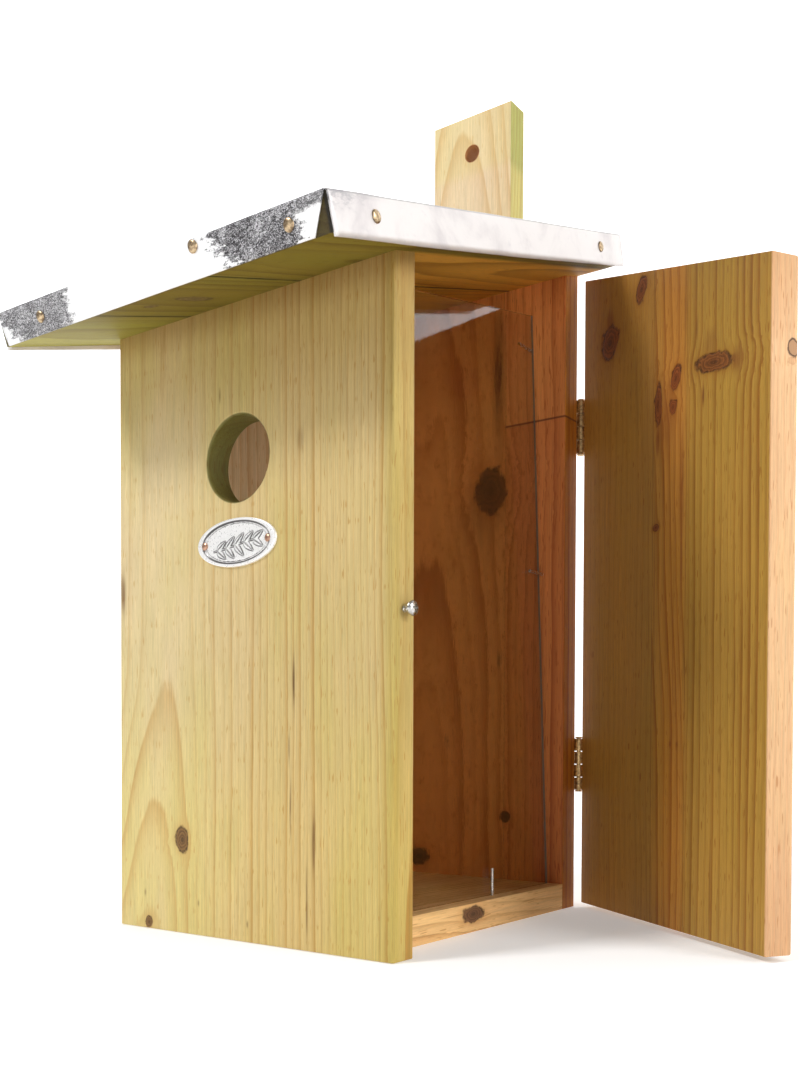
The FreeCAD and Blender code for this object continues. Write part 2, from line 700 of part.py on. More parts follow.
def side_door():
    """Door board with a sloping top, in the closed pose about the hinge axis."""
    def top(distance_back):
        return f"{roof_underside(distance_back)} - door_top_gap"

    free_back = "(board_thickness + door_front_gap)"
    corners = [(DOOR_REAR, "door_bottom_gap"), (DOOR_REAR, top("box_depth")),
               (DOOR_FREE, top(free_back)), (DOOR_FREE, "door_bottom_gap")]
    body = board("side_door", "YZ_Plane", corners, "board_thickness")
    thickness = float(sheet.get("board_thickness"))
    round_edges(body, "door_outer_round",
                lambda edge: min(point.x for point in edge_ends(edge)) > thickness - 0.01)
    return body


def latch_hook():
    """Flat hook that hangs from its screw; swung level, its slot drops over the catch screw."""
    slot = "(catch_screw_radius + hook_slot_clearance)"
    left = "(-hook_width / 2)"
    strip = box("hook_strip", "hook_thickness", "hook_width", f"{HOOK_REACH} + hook_nose + hook_tail",
                "hook_clearance", left, f"-{HOOK_REACH} - hook_nose")
    pivot = cylinder("hook_pivot_hole", "hook_screw_radius + hook_screw_clearance", "4 * hook_thickness",
                     "-hook_thickness", "0", "0", "+x")
    seat = cylinder("hook_seat", slot, "4 * hook_thickness", "-hook_thickness", "0", f"-{HOOK_REACH}", "+x")
    mouth = box("hook_mouth", "4 * hook_thickness", "hook_width", f"2 * {slot}",
                "-hook_thickness", "0", f"-{HOOK_REACH} - {slot}")
    return cut("latch_hook", strip, fuse("hook_cuts", [pivot, seat, mouth]))


def latch_screw():
    """Screw that the hook turns on, in the door's outer face."""
    head_start = "hook_thickness + 2 * hook_clearance"
    shank = cylinder("latch_shank", "hook_screw_radius", f"hook_screw_depth + {head_start}",
                     "-hook_screw_depth", "0", "0", "+x")
    head = cylinder("latch_head", "hook_screw_head_radius", "hook_screw_head_height", head_start,
                    "0", "0", "+x")
    whole = fuse("latch_whole", [shank, head])
    slot = box("latch_slot", "hook_screw_head_height", "2 * hook_screw_head_radius", "0.8",
               f"{head_start} + 0.7 * hook_screw_head_height", "-hook_screw_head_radius", "-0.4")
    return cut("latch_screw", whole, slot)


def on_hinge(item):
    """Put an object drawn about the hinge axis in its place on the box."""
    return place(item, HINGE_X, HINGE_Y)


def on_door(item, out="0", along="0", up="0"):
    """Put an object on the open door: out from the hinge axis, along the door, and up."""
    turn = "door_open_angle * 1deg"
    x = f"{HINGE_X} + ({out}) * cos({turn}) - ({along}) * sin({turn})"
    y = f"{HINGE_Y} + ({out}) * sin({turn}) + ({along}) * cos({turn})"
    return place(item, x, y, up, (0, 0, 1), "door_open_angle")


parts = [
    front_panel(),
    back_panel(),
    left_side_panel(),
    floor_panel(),
    *roof_planks(),
    roof_sheet(),
    roof_sheet_nails(),
    roof_plank_nails(),
    hanging_batten(),
    batten_screws(),
    side_panel_nails(),
    floor_nails(),
    window_pane(),
    window_pins(),
    name_plate(),
    name_plate_nails(),
    catch_screw(),
    on_hinge(hinge_leaf("hinge_upper_frame_leaf", HINGE_CENTRES["upper"], False)),
    on_hinge(hinge_leaf("hinge_lower_frame_leaf", HINGE_CENTRES["lower"], False)),
    on_hinge(hinge_pin("hinge_upper_pin", HINGE_CENTRES["upper"])),
    on_hinge(hinge_pin("hinge_lower_pin", HINGE_CENTRES["lower"])),
    on_hinge(hinge_screws("hinge_frame_screws", False)),
    on_door(side_door(), DOOR_INNER),
    on_door(hinge_leaf("hinge_upper_door_leaf", HINGE_CENTRES["upper"], True)),
    on_door(hinge_leaf("hinge_lower_door_leaf", HINGE_CENTRES["lower"], True)),
    on_door(hinge_screws("hinge_door_screws", True)),
    on_door(latch_screw(), DOOR_OUTER, HOOK_PIVOT_Y, "catch_screw_height"),
    on_door(latch_hook(), DOOR_OUTER, HOOK_PIVOT_Y, "catch_screw_height"),
]

doc.recompute()
for item in doc.Objects:
    if "Invalid" in item.State or "Error" in item.State:
        raise RuntimeError(f"{item.Name} failed: {item.State}")
for part in parts:
    if part.Shape.isNull() or not part.Shape.isValid() or not part.Shape.Solids:
        raise RuntimeError(f"{part.Label} has no valid solid")

os.makedirs("parts", exist_ok=True)
for part in parts:
    part.Shape.exportStep(os.path.join("parts", part.Label + ".step"))
    print(f"{part.Label:26s} {len(part.Shape.Solids)} solids {part.Shape.Volume:12.1f} mm3")
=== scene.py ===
import math

import bpy
import numpy as np
from bpy.props import FloatProperty, FloatVectorProperty, IntProperty, PointerProperty
from mathutils import Matrix, Vector


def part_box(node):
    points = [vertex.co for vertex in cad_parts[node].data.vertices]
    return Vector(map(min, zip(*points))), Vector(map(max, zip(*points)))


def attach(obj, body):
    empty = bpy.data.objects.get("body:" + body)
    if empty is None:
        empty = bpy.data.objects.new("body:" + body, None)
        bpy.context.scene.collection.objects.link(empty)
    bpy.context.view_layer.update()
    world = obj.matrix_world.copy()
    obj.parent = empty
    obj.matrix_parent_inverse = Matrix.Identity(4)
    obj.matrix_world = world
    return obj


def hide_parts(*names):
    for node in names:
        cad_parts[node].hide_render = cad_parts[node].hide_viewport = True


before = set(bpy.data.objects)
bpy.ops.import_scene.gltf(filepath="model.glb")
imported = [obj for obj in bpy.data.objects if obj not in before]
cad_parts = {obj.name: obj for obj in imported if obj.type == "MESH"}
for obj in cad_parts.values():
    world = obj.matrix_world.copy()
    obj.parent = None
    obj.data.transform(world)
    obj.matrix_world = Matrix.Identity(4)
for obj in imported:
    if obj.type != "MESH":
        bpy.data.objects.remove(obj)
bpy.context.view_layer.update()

bl_info = {
    "name": "Observation nest box",
    "version": (1, 0, 0),
    "blender": (4, 5, 0),
    "location": "3D View > Sidebar > Nest Box",
    "description": "Finishes a wooden nest box: pine grain, zinc roof, nails, plate, pane and stage",
    "category": "Object",
}

OPEN_ANGLE = math.radians(55.0)
ROOF_SLOPE = math.radians(18.3)
MM = 0.001

# Places on the boards, in millimetres.
ENTRANCE = (-3.5, 191.0, 17.3)       # across, height, radius where the bore begins
PLANK_JOINT = 30.2                   # from the roof's middle
FRONT_FOLD = (-47.0, -47.6)          # up the slope: the top's edge and the front fold's face
BACK_STAVE = 27.5                    # edge of the back board's right strip
BACK_JOINT = 235.0                   # height where that strip's two lengths meet
BACK_FACE = 79.2                     # just inside the back board's outer face
LEFT_FACE = -61.0                    # just inside the left board's outer face
DOOR_FACE = 12.4                     # the door's outer face, from the hinge line
DOOR_EDGE = 147.6                    # the door's free edge, from the hinge line
DOOR_KNOT = (9.9, 221.5)             # knot on that edge: depth, height
BATTEN_EDGE = 23.45                  # half the batten's width
BATTEN_HOLE = 382.4                  # height of the hanging hole


# ---------------------------------------------------------------- node wiring

class Wires:
    """Short ways to add and join shader nodes in one tree."""

    def __init__(self, tree):
        self.tree = tree

    def node(self, kind, **settings):
        made = self.tree.nodes.new(kind)
        for name, value in settings.items():
            setattr(made, name, value)
        return made

    def feed(self, socket, value):
        if isinstance(value, bpy.types.NodeSocket):
            self.tree.links.new(value, socket)
        elif value is not None:
            socket.default_value = value

    def math(self, operation, *values):
        made = self.node("ShaderNodeMath", operation=operation)
        for socket, value in zip(made.inputs, values):
            self.feed(socket, value)
        return made.outputs[0]

    def add(self, a, b):
        return self.math("ADD", a, b)

    def sub(self, a, b):
        return self.math("SUBTRACT", a, b)

    def mul(self, a, b):
        return self.math("MULTIPLY", a, b)

    def div(self, a, b):
        return self.math("DIVIDE", a, b)

    def vec(self, operation, *values):
        made = self.node("ShaderNodeVectorMath", operation=operation)
        sockets = [s for s in made.inputs if s.type == "VECTOR"]
        for socket, value in zip(sockets, values):
            self.feed(socket, value)
        return made.outputs["Value" if operation == "LENGTH" else "Vector"]

    def stretch(self, vector, factors):
        """The vector with each part multiplied by its own factor."""
        return self.vec("MULTIPLY", vector, factors)

    def split(self, vector):
        made = self.node("ShaderNodeSeparateXYZ")
        self.feed(made.inputs[0], vector)
        return made.outputs[0], made.outputs[1], made.outputs[2]

    def gap(self, value, centre=0.0):
        """How far a value is from a centre, to either side."""
        return self.math("ABSOLUTE", self.sub(value, centre) if centre else value)

    def join(self, x, y, z):
        made = self.node("ShaderNodeCombineXYZ")
        for socket, value in zip(made.inputs, (x, y, z)):
            self.feed(socket, value)
        return made.outputs[0]

    def ramp(self, value, low, high, start=0.0, end=1.0, smooth=True):
        """Value carried from the range low..high to start..end, with soft ends."""
        made = self.node("ShaderNodeMapRange", interpolation_type="SMOOTHSTEP" if smooth else "LINEAR")
        for socket, given in zip(made.inputs, (value, low, high, start, end)):
            self.feed(socket, given)
        return made.outputs[0]

    def noise(self, vector, scale=1.0, detail=2.0, rough=0.5, distort=0.0):
        made = self.node("ShaderNodeTexNoise")
        for name, value in (("Vector", vector), ("Scale", scale), ("Detail", detail),
                            ("Roughness", rough), ("Distortion", distort)):
            self.feed(made.inputs[name], value)
        return made.outputs["Fac"]

    def streaky(self, point, thin, long, detail=2.0, rough=0.5):
        """Noise drawn out along a board, from its scales across and along."""
        across, depth, along = self.split(point)
        drawn = self.join(self.mul(across, thin), self.mul(depth, thin), self.mul(along, long))
        return self.noise(drawn, 1.0, detail, rough)

    def chance(self, value):
        """A fixed random number for each whole number."""
        made = self.node("ShaderNodeTexWhiteNoise", noise_dimensions="1D")
        self.feed(made.inputs["W"], value)
        return made.outputs["Value"]

    def mix(self, amount, a, b, blend="MIX"):
        made = self.node("ShaderNodeMix", data_type="RGBA", blend_type=blend, clamp_factor=True)
        self.feed(made.inputs["Factor"], amount)
        for name, value in (("A", a), ("B", b)):
            socket = [s for s in made.inputs if s.name == name and s.type == "RGBA"][0]
            self.feed(socket, (*value, 1.0) if isinstance(value, tuple) and len(value) == 3 else value)
        return [s for s in made.outputs if s.type == "RGBA"][0]

    def tint(self, amount, colour, factors):
        """The colour, carried by an amount towards itself times three factors."""
        return self.mix(amount, colour, self.mix(1.0, colour, factors, "MULTIPLY"))

    def blendf(self, amount, a, b):
        made = self.node("ShaderNodeMix", data_type="FLOAT", clamp_factor=True)
        self.feed(made.inputs["Factor"], amount)
        for name, value in (("A", a), ("B", b)):
            socket = [s for s in made.inputs if s.name == name and s.type == "VALUE"][0]
            self.feed(socket, value)
        return [s for s in made.outputs if s.type == "VALUE"][0]

    def call(self, group, **values):
        made = self.node("ShaderNodeGroup", node_tree=group)
        for name, value in values.items():
            self.feed(made.inputs[name], value)
        return made.outputs


def new_group(name, inputs, outputs):
    """A node group whose sockets are written as name:kind, where the kind is f, v or c for float,
    vector or colour. Returns the group, its wires, its inputs by name and its output node."""
    tree = bpy.data.node_groups.new(name, "ShaderNodeTree")
    kinds = {"f": "NodeSocketFloat", "v": "NodeSocketVector", "c": "NodeSocketColor"}
    for way, words in (("INPUT", inputs), ("OUTPUT", outputs)):
        for word in words.split():
            label, kind = word.split(":")
            tree.interface.new_socket(name=label, in_out=way, socket_type=kinds[kind])
    wires = Wires(tree)
    entry = wires.node("NodeGroupInput")
    leave = wires.node("NodeGroupOutput")
    return tree, wires, {s.name: s for s in entry.outputs if s.name}, leave


def new_material(name):
    """An empty material with a Principled shader; returns it, its wires and the shader."""
    material = bpy.data.materials.new(name)
    material.use_nodes = True
    material.node_tree.nodes.clear()
    wires = Wires(material.node_tree)
    shader = wires.node("ShaderNodeBsdfPrincipled")
    output = wires.node("ShaderNodeOutputMaterial")
    material.node_tree.links.new(shader.outputs[0], output.inputs[0])
    return material, wires, shader


def bump(wires, shader, height, distance, strength=1.0):
    made = wires.node("ShaderNodeBump")
    wires.feed(made.inputs["Height"], height)
    made.inputs["Distance"].default_value = distance
    made.inputs["Strength"].default_value = strength
    wires.tree.links.new(made.outputs[0], shader.inputs["Normal"])


# ---------------------------------------------------------------- adjustable looks

PAINT = {"size": 3, "subtype": "COLOR", "min": 0.0, "max": 1.0}


class PineLook(bpy.types.PropertyGroup):
    """Looks shared by every board."""
    grain: FloatProperty(name="Grain", description="Strength of the late-wood lines", default=1.0,
                         min=0.0, max=2.0)
    green: FloatProperty(name="Green tint", description="How far the impregnation shows", default=1.0,
                         min=0.0, max=2.0)
    relief: FloatProperty(name="Relief", description="Height of the grain on sawn faces", default=0.00022,
                          min=0.0, max=0.002, unit="LENGTH")
    front: FloatVectorProperty(
        name="Front board", description="Pale wood of the front board", default=(0.68, 0.54, 0.30), **PAINT)
    # The door's colour is a dark, saturated brown: partly the wood's own tone, partly painted shade of its
    # inner face. The outer face and the free edge's end face are lifted back to pale wood.
    door: FloatVectorProperty(
        name="Door", description="Pale wood of the door's inner face", default=(0.39, 0.195, 0.042), **PAINT)
    # The inside colour is a saturated orange that stands in for the shade and bounce light inside the closed
    # box: painted light and shade, not the wood's own tone. Outer faces are brought back to plain pale wood.
    inside: FloatVectorProperty(
        name="Inside", description="Pale wood inside the box", default=(0.96, 0.365, 0.10), **PAINT)
    roof: FloatVectorProperty(
        name="Roof planks", description="Pale wood of the roof planks", default=(0.215, 0.155, 0.016),
        **PAINT)
    batten: FloatVectorProperty(
        name="Batten", description="Pale wood of the hanging batten", default=(0.73, 0.56, 0.36), **PAINT)


class ZincLook(bpy.types.PropertyGroup):
    """Looks and folds of the roof sheet."""
    bend: FloatProperty(name="Bend radius", description="Outer radius of the folds", default=0.0011,
                        min=0.0008, max=0.003, unit="LENGTH")
    sag: FloatProperty(name="Edge wave", description="How far the side folds' lower edges wander",
                       default=0.0012, min=0.0, max=0.003, unit="LENGTH")
    ripple: FloatProperty(name="Ripple", description="Gentle unevenness of the flat sheet", default=0.00022,
                          min=0.0, max=0.001, unit="LENGTH")
    bright: FloatVectorProperty(
        name="Zinc", description="Clean zinc", default=(0.86, 0.85, 0.845), **PAINT)
    # The frost colour is near-black: it paints the dark reflections in the front fold's patches.
    dull: FloatVectorProperty(
        name="Frost", description="Dull crystalline patches", default=(0.035, 0.032, 0.035), **PAINT)


class FittingsLook(bpy.types.PropertyGroup):
    """Nails, screws, hinges, plate and pane."""
    dome: FloatProperty(name="Nail dome", description="Height of a roof nail's head", default=0.0009,
                        min=0.0003, max=0.0012, unit="LENGTH")
    plate_relief: FloatProperty(name="Plate relief", description="Height of the cast sprig", default=0.00036,
                                min=0.0, max=0.0006, unit="LENGTH")
    thread: FloatProperty(name="Thread depth", description="Depth of the screw threads", default=0.00022,
                          min=0.0, max=0.0005, unit="LENGTH")
    turns: IntProperty(name="Head steps", description="Points round each small head", default=36,
                       min=12, max=96)


class StageLook(bpy.types.PropertyGroup):
    """Lights, floor and backdrop."""
    key: FloatProperty(name="Front light", description="Soft light from the front left", default=57.0,
                       min=0.0, unit="POWER")
    side: FloatProperty(name="Side light", description="Soft light from the right", default=31.0,
                        min=0.0, unit="POWER")
    sky: FloatProperty(name="Room light", description="Strength of the even light all round", default=0.30,
                       min=0.0, max=2.0)
    paper: FloatProperty(name="Paper glow", description="Extra light of the floor and backdrop", default=0.5,
                         min=0.0, max=2.0)


# ---------------------------------------------------------------- pine

def knot_group():
    """Parts the grain round a knot and measures how far a point is from it, in knot radii.

    Point is across, depth and along in millimetres. Its across value is drawn towards the knot's
    middle by a bell curve, so that growth lines spread round it."""
    tree, w, given, leave = new_group(
        "knot", "Point:v Across:f Along:f Half_width:f Half_length:f Push:f Turn:f Near:f Wobble:f",
        "Point:v Near:f")
    across, depth, along = w.split(given["Point"])
    dx, dz = w.sub(across, given["Across"]), w.sub(along, given["Along"])
    c, s = w.math("COSINE", given["Turn"]), w.math("SINE", given["Turn"])
    rx, rz = w.add(w.mul(dx, c), w.mul(dz, s)), w.sub(w.mul(dz, c), w.mul(dx, s))
    far = w.vec("LENGTH", w.join(w.div(rx, given["Half_width"]), 0.0, w.div(rz, given["Half_length"])))
    far = w.mul(far, given["Wobble"])
    bell = w.math("EXPONENT", w.mul(w.mul(far, far), -0.30))
    moved = w.sub(across, w.mul(w.mul(dx, given["Push"]), bell))
    w.feed(leave.inputs["Point"], w.join(moved, depth, along))
    w.feed(leave.inputs["Near"], w.math("MINIMUM", given["Near"], far))
    return tree


def growth_group():
    """Counts growth rings: distance from a leaning pith line, wavering slowly, over the ring width."""
    tree, w, given, leave = new_group(
        "growth", "Point:v Pith_across:f Pith_depth:f Lean_across:f Lean_depth:f Fade:f Ring:f Waver:f "
        "Seed:f", "Rings:f")
    across, depth, along = w.split(given["Point"])
    rise = w.math("SMOOTH_MIN", along, given["Fade"], 25.0)
    dx = w.sub(across, given["Pith_across"])
    spread = w.math("EXPONENT", w.mul(w.mul(dx, dx), -0.0002))
    dx = w.sub(dx, w.mul(w.mul(rise, given["Lean_across"]), spread))
    dy = w.sub(w.sub(depth, given["Pith_depth"]), w.mul(rise, given["Lean_depth"]))
    radius = w.vec("LENGTH", w.join(dx, dy, 0.0))
    seed = given["Seed"]
    slow = w.join(w.add(w.mul(across, 0.022), seed), w.mul(depth, 0.022), w.mul(along, 0.006))
    fast = w.join(w.mul(across, 0.12), w.add(w.mul(depth, 0.12), seed), w.mul(along, 0.018))
    slow, fast = w.noise(slow, 1.0, 1.0), w.noise(fast, 1.0, 2.0)
    drift = w.add(w.mul(w.sub(slow, 0.5), w.mul(given["Waver"], 2.2)),
                  w.mul(w.sub(fast, 0.5), w.mul(given["Waver"], 0.5)))
    w.feed(leave.inputs["Rings"], w.add(w.div(w.add(radius, drift), given["Ring"]), seed))
    return tree


def pine_group():
    """Colours pine from a ring count: pale early wood, a sharp-edged late line in each ring,
    fibres, resin canals, knots with a dark bark ring, and slow tints over the board."""
    tree, w, given, leave = new_group(
        "pine", "Point:v Rings:f Near:f Stain:f Early:c Late:c Tint:c Tint_amount:f Knot:c Line:f Seed:f",
        "Colour:c Height:f Rough:f")
    point = given["Point"]
    across, depth, along = w.split(point)
    fibre = w.streaky(point, 1.5, 0.035, 4.0, 0.72)
    fine = w.streaky(point, 7.0, 0.25, 2.0, 0.7)
    rings = w.add(given["Rings"], w.mul(w.sub(fibre, 0.5), 0.12))
    whole, part = w.math("FLOOR", rings), w.math("FRACT", rings)
    each = w.chance(w.add(whole, given["Seed"]))
    late = w.math("POWER", part, w.ramp(each, 0.0, 1.0, 1.6, 5.5, smooth=False))
    late = w.mul(late, w.ramp(part, 0.90, 1.0, 1.0, 0.0))
    late = w.mul(late, w.ramp(each, 0.0, 1.0, 1.3, 0.55, smooth=False))
    patchy = w.streaky(point, 0.05, 0.012, 2.0)
    late = w.mul(w.mul(late, w.ramp(patchy, 0.25, 0.75, 0.6, 1.3, smooth=False)), given["Line"])
    broad = w.join(w.add(w.mul(across, 0.03), given["Seed"]), w.mul(depth, 0.03), w.mul(along, 0.008))
    broad = w.noise(broad, 1.0, 3.0)
    colour = w.mix(w.mul(w.ramp(broad, 0.35, 0.7), given["Tint_amount"]), given["Early"], given["Tint"])
    colour = w.mix(late, colour, given["Late"])
    shade = w.mul(w.ramp(fibre, 0.3, 0.7, 0.80, 1.14, smooth=False),
                  w.ramp(fine, 0.25, 0.75, 0.90, 1.08, smooth=False))
    colour = w.mix(1.0, colour, w.join(shade, shade, shade), "MULTIPLY")
    canal = w.streaky(point, 1.7, 0.16, 0.0)
    colour = w.mix(w.mul(w.ramp(canal, 0.68, 0.78), 0.85), colour, given["Late"])
    near = given["Near"]
    halo = w.mul(w.math("EXPONENT", w.mul(w.math("MAXIMUM", w.sub(near, 1.0), 0.0), -2.2)), 0.6)
    colour = w.mix(halo, colour, given["Late"])
    swirl = w.noise(given["Point"], 0.42, 4.0, 0.7)
    ragged = w.add(near, w.mul(w.sub(swirl, 0.5), 0.42))
    inside = w.ramp(ragged, 0.72, 1.12, 0.96, 0.0)
    heart = w.math("FRACT", w.add(w.mul(near, 4.2), w.mul(swirl, 1.5)))
    heart = w.ramp(heart, 0.1, 1.0, 0.62, 1.35)
    core = w.mix(1.0, given["Knot"], w.join(heart, heart, heart), "MULTIPLY")
    middle = w.mix(1.0, given["Knot"], (0.30, 0.26, 0.25), "MULTIPLY")
    core = w.mix(w.ramp(near, 0.42, 0.1, 0.0, 0.7), core, middle)
    colour = w.mix(inside, colour, core)
    bark = w.mul(w.ramp(ragged, 0.74, 0.90), w.ramp(ragged, 0.92, 1.10, 1.0, 0.0))
    bark = w.mul(bark, w.ramp(swirl, 0.38, 0.58, 0.05, 0.9))
    dark = w.mix(1.0, given["Knot"], (0.26, 0.22, 0.20), "MULTIPLY")
    colour = w.mix(bark, colour, dark)
    colour = w.mix(given["Stain"], colour, given["Knot"])
    w.feed(leave.inputs["Colour"], colour)
    height = w.add(w.mul(late, 0.5), w.add(w.mul(fibre, 0.35), w.mul(fine, 0.3)))
    w.feed(leave.inputs["Height"], w.sub(height, w.mul(bark, 0.9)))
    w.feed(leave.inputs["Rough"], w.ramp(fibre, 0.2, 0.8, 0.50, 0.66, smooth=False))
    return tree


def board_point(w, layout):
    """Object coordinates in millimetres, turned so that they read across, depth and along a board."""
    place = w.node("ShaderNodeTexCoord").outputs["Object"]
    turn = w.node("ShaderNodeMapping", vector_type="POINT")
    w.feed(turn.inputs["Vector"], place)
    turn.inputs["Scale"].default_value = (1000.0, 1000.0, 1000.0)
    turn.inputs["Rotation"].default_value = layout.get("turn", (0.0, 0.0, 0.0))
    turn.inputs["Location"].default_value = layout.get("shift", (0.0, 0.0, 0.0))
    parts = dict(zip("xyz", w.split(turn.outputs[0])))
    return w.join(*[w.mul(parts[a[-1]], -1.0) if a[0] == "-" else parts[a] for a in layout["axes"]])


def pine(name, layout, staves, early, late, tint, knots=(), streaks=(), bands=(), tint_amount=0.5,
         knot=(0.13, 0.05, 0.02), line=1.0, seed=0.0, quiet=None, extra=None):
    """One board's pine, measured across, through and along it.

    Staves are glued strips: left edge, pith across, pith depth, lean across, lean depth, fade height,
    ring width, waver. Knots: across, along, half width, half length, push, turn. Streaks: across, along,
    half width, half length, strength. Bands multiply the colour along one axis: axis, from, to, colour,
    amount; some are wood tones and some are painted light and shade, as marked where they are listed.
    Quiet gives two places across and the lines' strength before the first; extra is a function of the
    wires, the point and the colour that gives a new colour."""
    look = bpy.context.scene.nest_pine
    material, w, shader = new_material(name)
    point = board_point(w, layout)
    across, depth, along = w.split(point)
    moved, near = point, 99.0
    if knots:
        wobble = w.ramp(w.noise(point, 0.22, 2.0), 0.2, 0.8, 0.78, 1.26, smooth=False)
    for a, l, half_width, half_length, push, turn in knots:
        out = w.call(GROUPS["knot"], Point=moved, Across=a, Along=l, Half_width=half_width,
                     Half_length=half_length, Push=push, Turn=math.radians(turn), Near=near, Wobble=wobble)
        moved, near = out["Point"], out["Near"]
    rings, seams = None, None
    for k, (edge, pa, pd, la, ld, fade, ring, waver) in enumerate(staves):
        out = w.call(GROUPS["growth"], Point=moved, Pith_across=pa, Pith_depth=pd, Lean_across=la,
                     Lean_depth=ld, Fade=fade, Ring=ring, Waver=waver, Seed=seed + 7.3 * k)["Rings"]
        if rings is None:
            rings = out
            continue
        rings = w.blendf(w.math("GREATER_THAN", across, edge), rings, out)
        seam = w.ramp(w.gap(across, edge), 0.0, 0.35, 1.0, 0.0)
        seams = seam if seams is None else w.math("MAXIMUM", seams, seam)
    stain = 0.0
    for a, l, half_width, half_length, strength in streaks:
        rel = w.join(w.div(w.sub(across, a), half_width), 0.0, w.div(w.sub(along, l), half_length))
        spot = w.math("EXPONENT", w.mul(w.math("POWER", w.vec("LENGTH", rel), 2.6), -1.2))
        stain = w.math("MAXIMUM", stain, w.mul(spot, strength))
    if streaks:
        fray = w.streaky(point, 1.7, 0.07, 2.0)
        stain = w.mul(stain, w.ramp(fray, 0.25, 0.6, 0.5, 1.2))
    strength = line * look.grain
    if quiet is not None:
        strength = w.ramp(across, quiet[0], quiet[1], quiet[2] * strength, strength)
    out = w.call(GROUPS["pine"], Point=point, Rings=rings, Near=near, Stain=stain, Early=(*early, 1),
                 Late=(*late, 1), Tint=(*tint, 1), Tint_amount=tint_amount * look.green, Knot=(*knot, 1),
                 Line=strength, Seed=seed)
    colour = out["Colour"]
    for axis, start, end, tone, amount in bands:
        past = w.ramp(w.split(point)[axis], start, end)
        colour = w.tint(w.mul(past, amount), colour, tone)
    if seams is not None:
        colour = w.mix(w.mul(seams, 0.6), colour, tuple(0.45 * v for v in late))
    if extra is not None:
        colour = extra(w, point, colour)
    w.feed(shader.inputs["Base Color"], colour)
    w.feed(shader.inputs["Roughness"], out["Rough"])
    shader.inputs["Specular IOR Level"].default_value = 0.3
    bump(w, shader, out["Height"], look.relief, 0.8)
    return material


UPRIGHT = {"axes": ("x", "y", "z")}
SIDEWAYS = {"axes": ("y", "x", "z")}
FRONT_TO_BACK = {"axes": ("z", "x", "y")}
UP_THE_SLOPE = {"axes": ("x", "z", "y"), "turn": (-ROOF_SLOPE, 0.0, 0.0), "shift": (0.0, -3.17, -264.37)}
ALONG_DOOR = {"axes": ("-y", "x", "z"), "turn": (0.0, 0.0, -OPEN_ANGLE), "shift": (-103.67, 3.7, 0.0)}
GROUPS = {}


def times(colour, *factors):
    """A colour with each channel multiplied."""
    return tuple(min(1.0, c * f) for c, f in zip(colour, factors))


def green_and_shaded_bore(w, point, colour):
    """The entrance's wall is darkened to a deep olive: partly end grain that drank the green treatment,
    partly painted shade inside the bore.
    """
    across, depth, along = w.split(point)
    out = w.vec("LENGTH", w.join(w.sub(across, ENTRANCE[0]), 0.0, w.sub(along, ENTRANCE[1])))
    # Painted shade: the bore's wall is multiplied far darker than the green alone.
    return w.tint(w.mul(w.ramp(out, ENTRANCE[2] + 0.6, ENTRANCE[2]), 0.95), colour, (0.24, 0.27, 0.12))


def end_knot(w, point, colour):
    """The door's outer face is brought back to paler plain wood, since the door's colour holds painted shade
    for its inner face, and its free edge cuts through a small knot with dark bark.
    """
    across, depth, along = w.split(point)
    out = w.vec("LENGTH", w.join(w.div(w.sub(depth, DOOR_KNOT[0]), 2.6), 0.0,
                                 w.div(w.sub(along, DOOR_KNOT[1]), 3.4)))
    out = w.add(out, w.mul(w.sub(w.noise(point, 0.5, 3.0), 0.5), 0.5))
    edge = w.ramp(across, DOOR_EDGE - 0.6, DOOR_EDGE)
    waves = w.add(w.mul(depth, 0.34), w.mul(w.noise(point, 0.05, 1.0), 1.5))
    grain = w.ramp(w.math("FRACT", waves), 0.55, 1.0)
    colour = w.mix(w.mul(w.mul(grain, edge), 0.35), colour, (0.62, 0.30, 0.13))
    # Outer face lifted from the painted-shade door colour back to plain pale wood.
    colour = w.tint(w.ramp(depth, DOOR_FACE - 0.15, DOOR_FACE), colour, (1.62, 2.3, 4.4))
    colour = w.mix(w.mul(w.ramp(out, 1.12, 0.9), edge), colour, (0.10, 0.045, 0.02))
    return w.mix(w.mul(w.ramp(out, 0.86, 0.7), edge), colour, (0.42, 0.23, 0.11))


def painted_inside_shade_and_joints(w, point, colour):
    """Roof planks are green outside the walls and dark at their joints; over the nest they are a brighter
    orange-brown, painted light and shade that stands in for the light inside the closed box.
    """
    across, depth, along = w.split(point)
    # Over the nest: painted light and shade, a brighter orange-brown for the inside of the box.
    inside = w.mul(w.ramp(along, 9.0, 14.0), w.ramp(w.gap(across), 77.0, 73.0))
    colour = w.tint(inside, colour, (3.6, 2.5, 3.2))
    broken = w.ramp(w.noise(w.stretch(point, (0.3, 0.3, 0.06)), 1.0, 3.0), 0.3, 0.6, 0.55, 0.95)
    line = w.mul(w.ramp(w.gap(w.gap(across), PLANK_JOINT), 0.5, 1.1, 1.0, 0.0), broken)
    return w.mix(line, colour, (0.022, 0.026, 0.006))


def left_wall(w, point, colour):
    """Left side board: a warm, bright inside tone that is painted light and shade of the closed box, and
    plain pale wood outside.
    """
    depth = w.split(point)[1]
    plain = w.mix(1.0, colour, (0.70, 0.70, 0.78), "MULTIPLY")
    return w.mix(w.ramp(depth, LEFT_FACE, LEFT_FACE + 1.0), plain, colour)


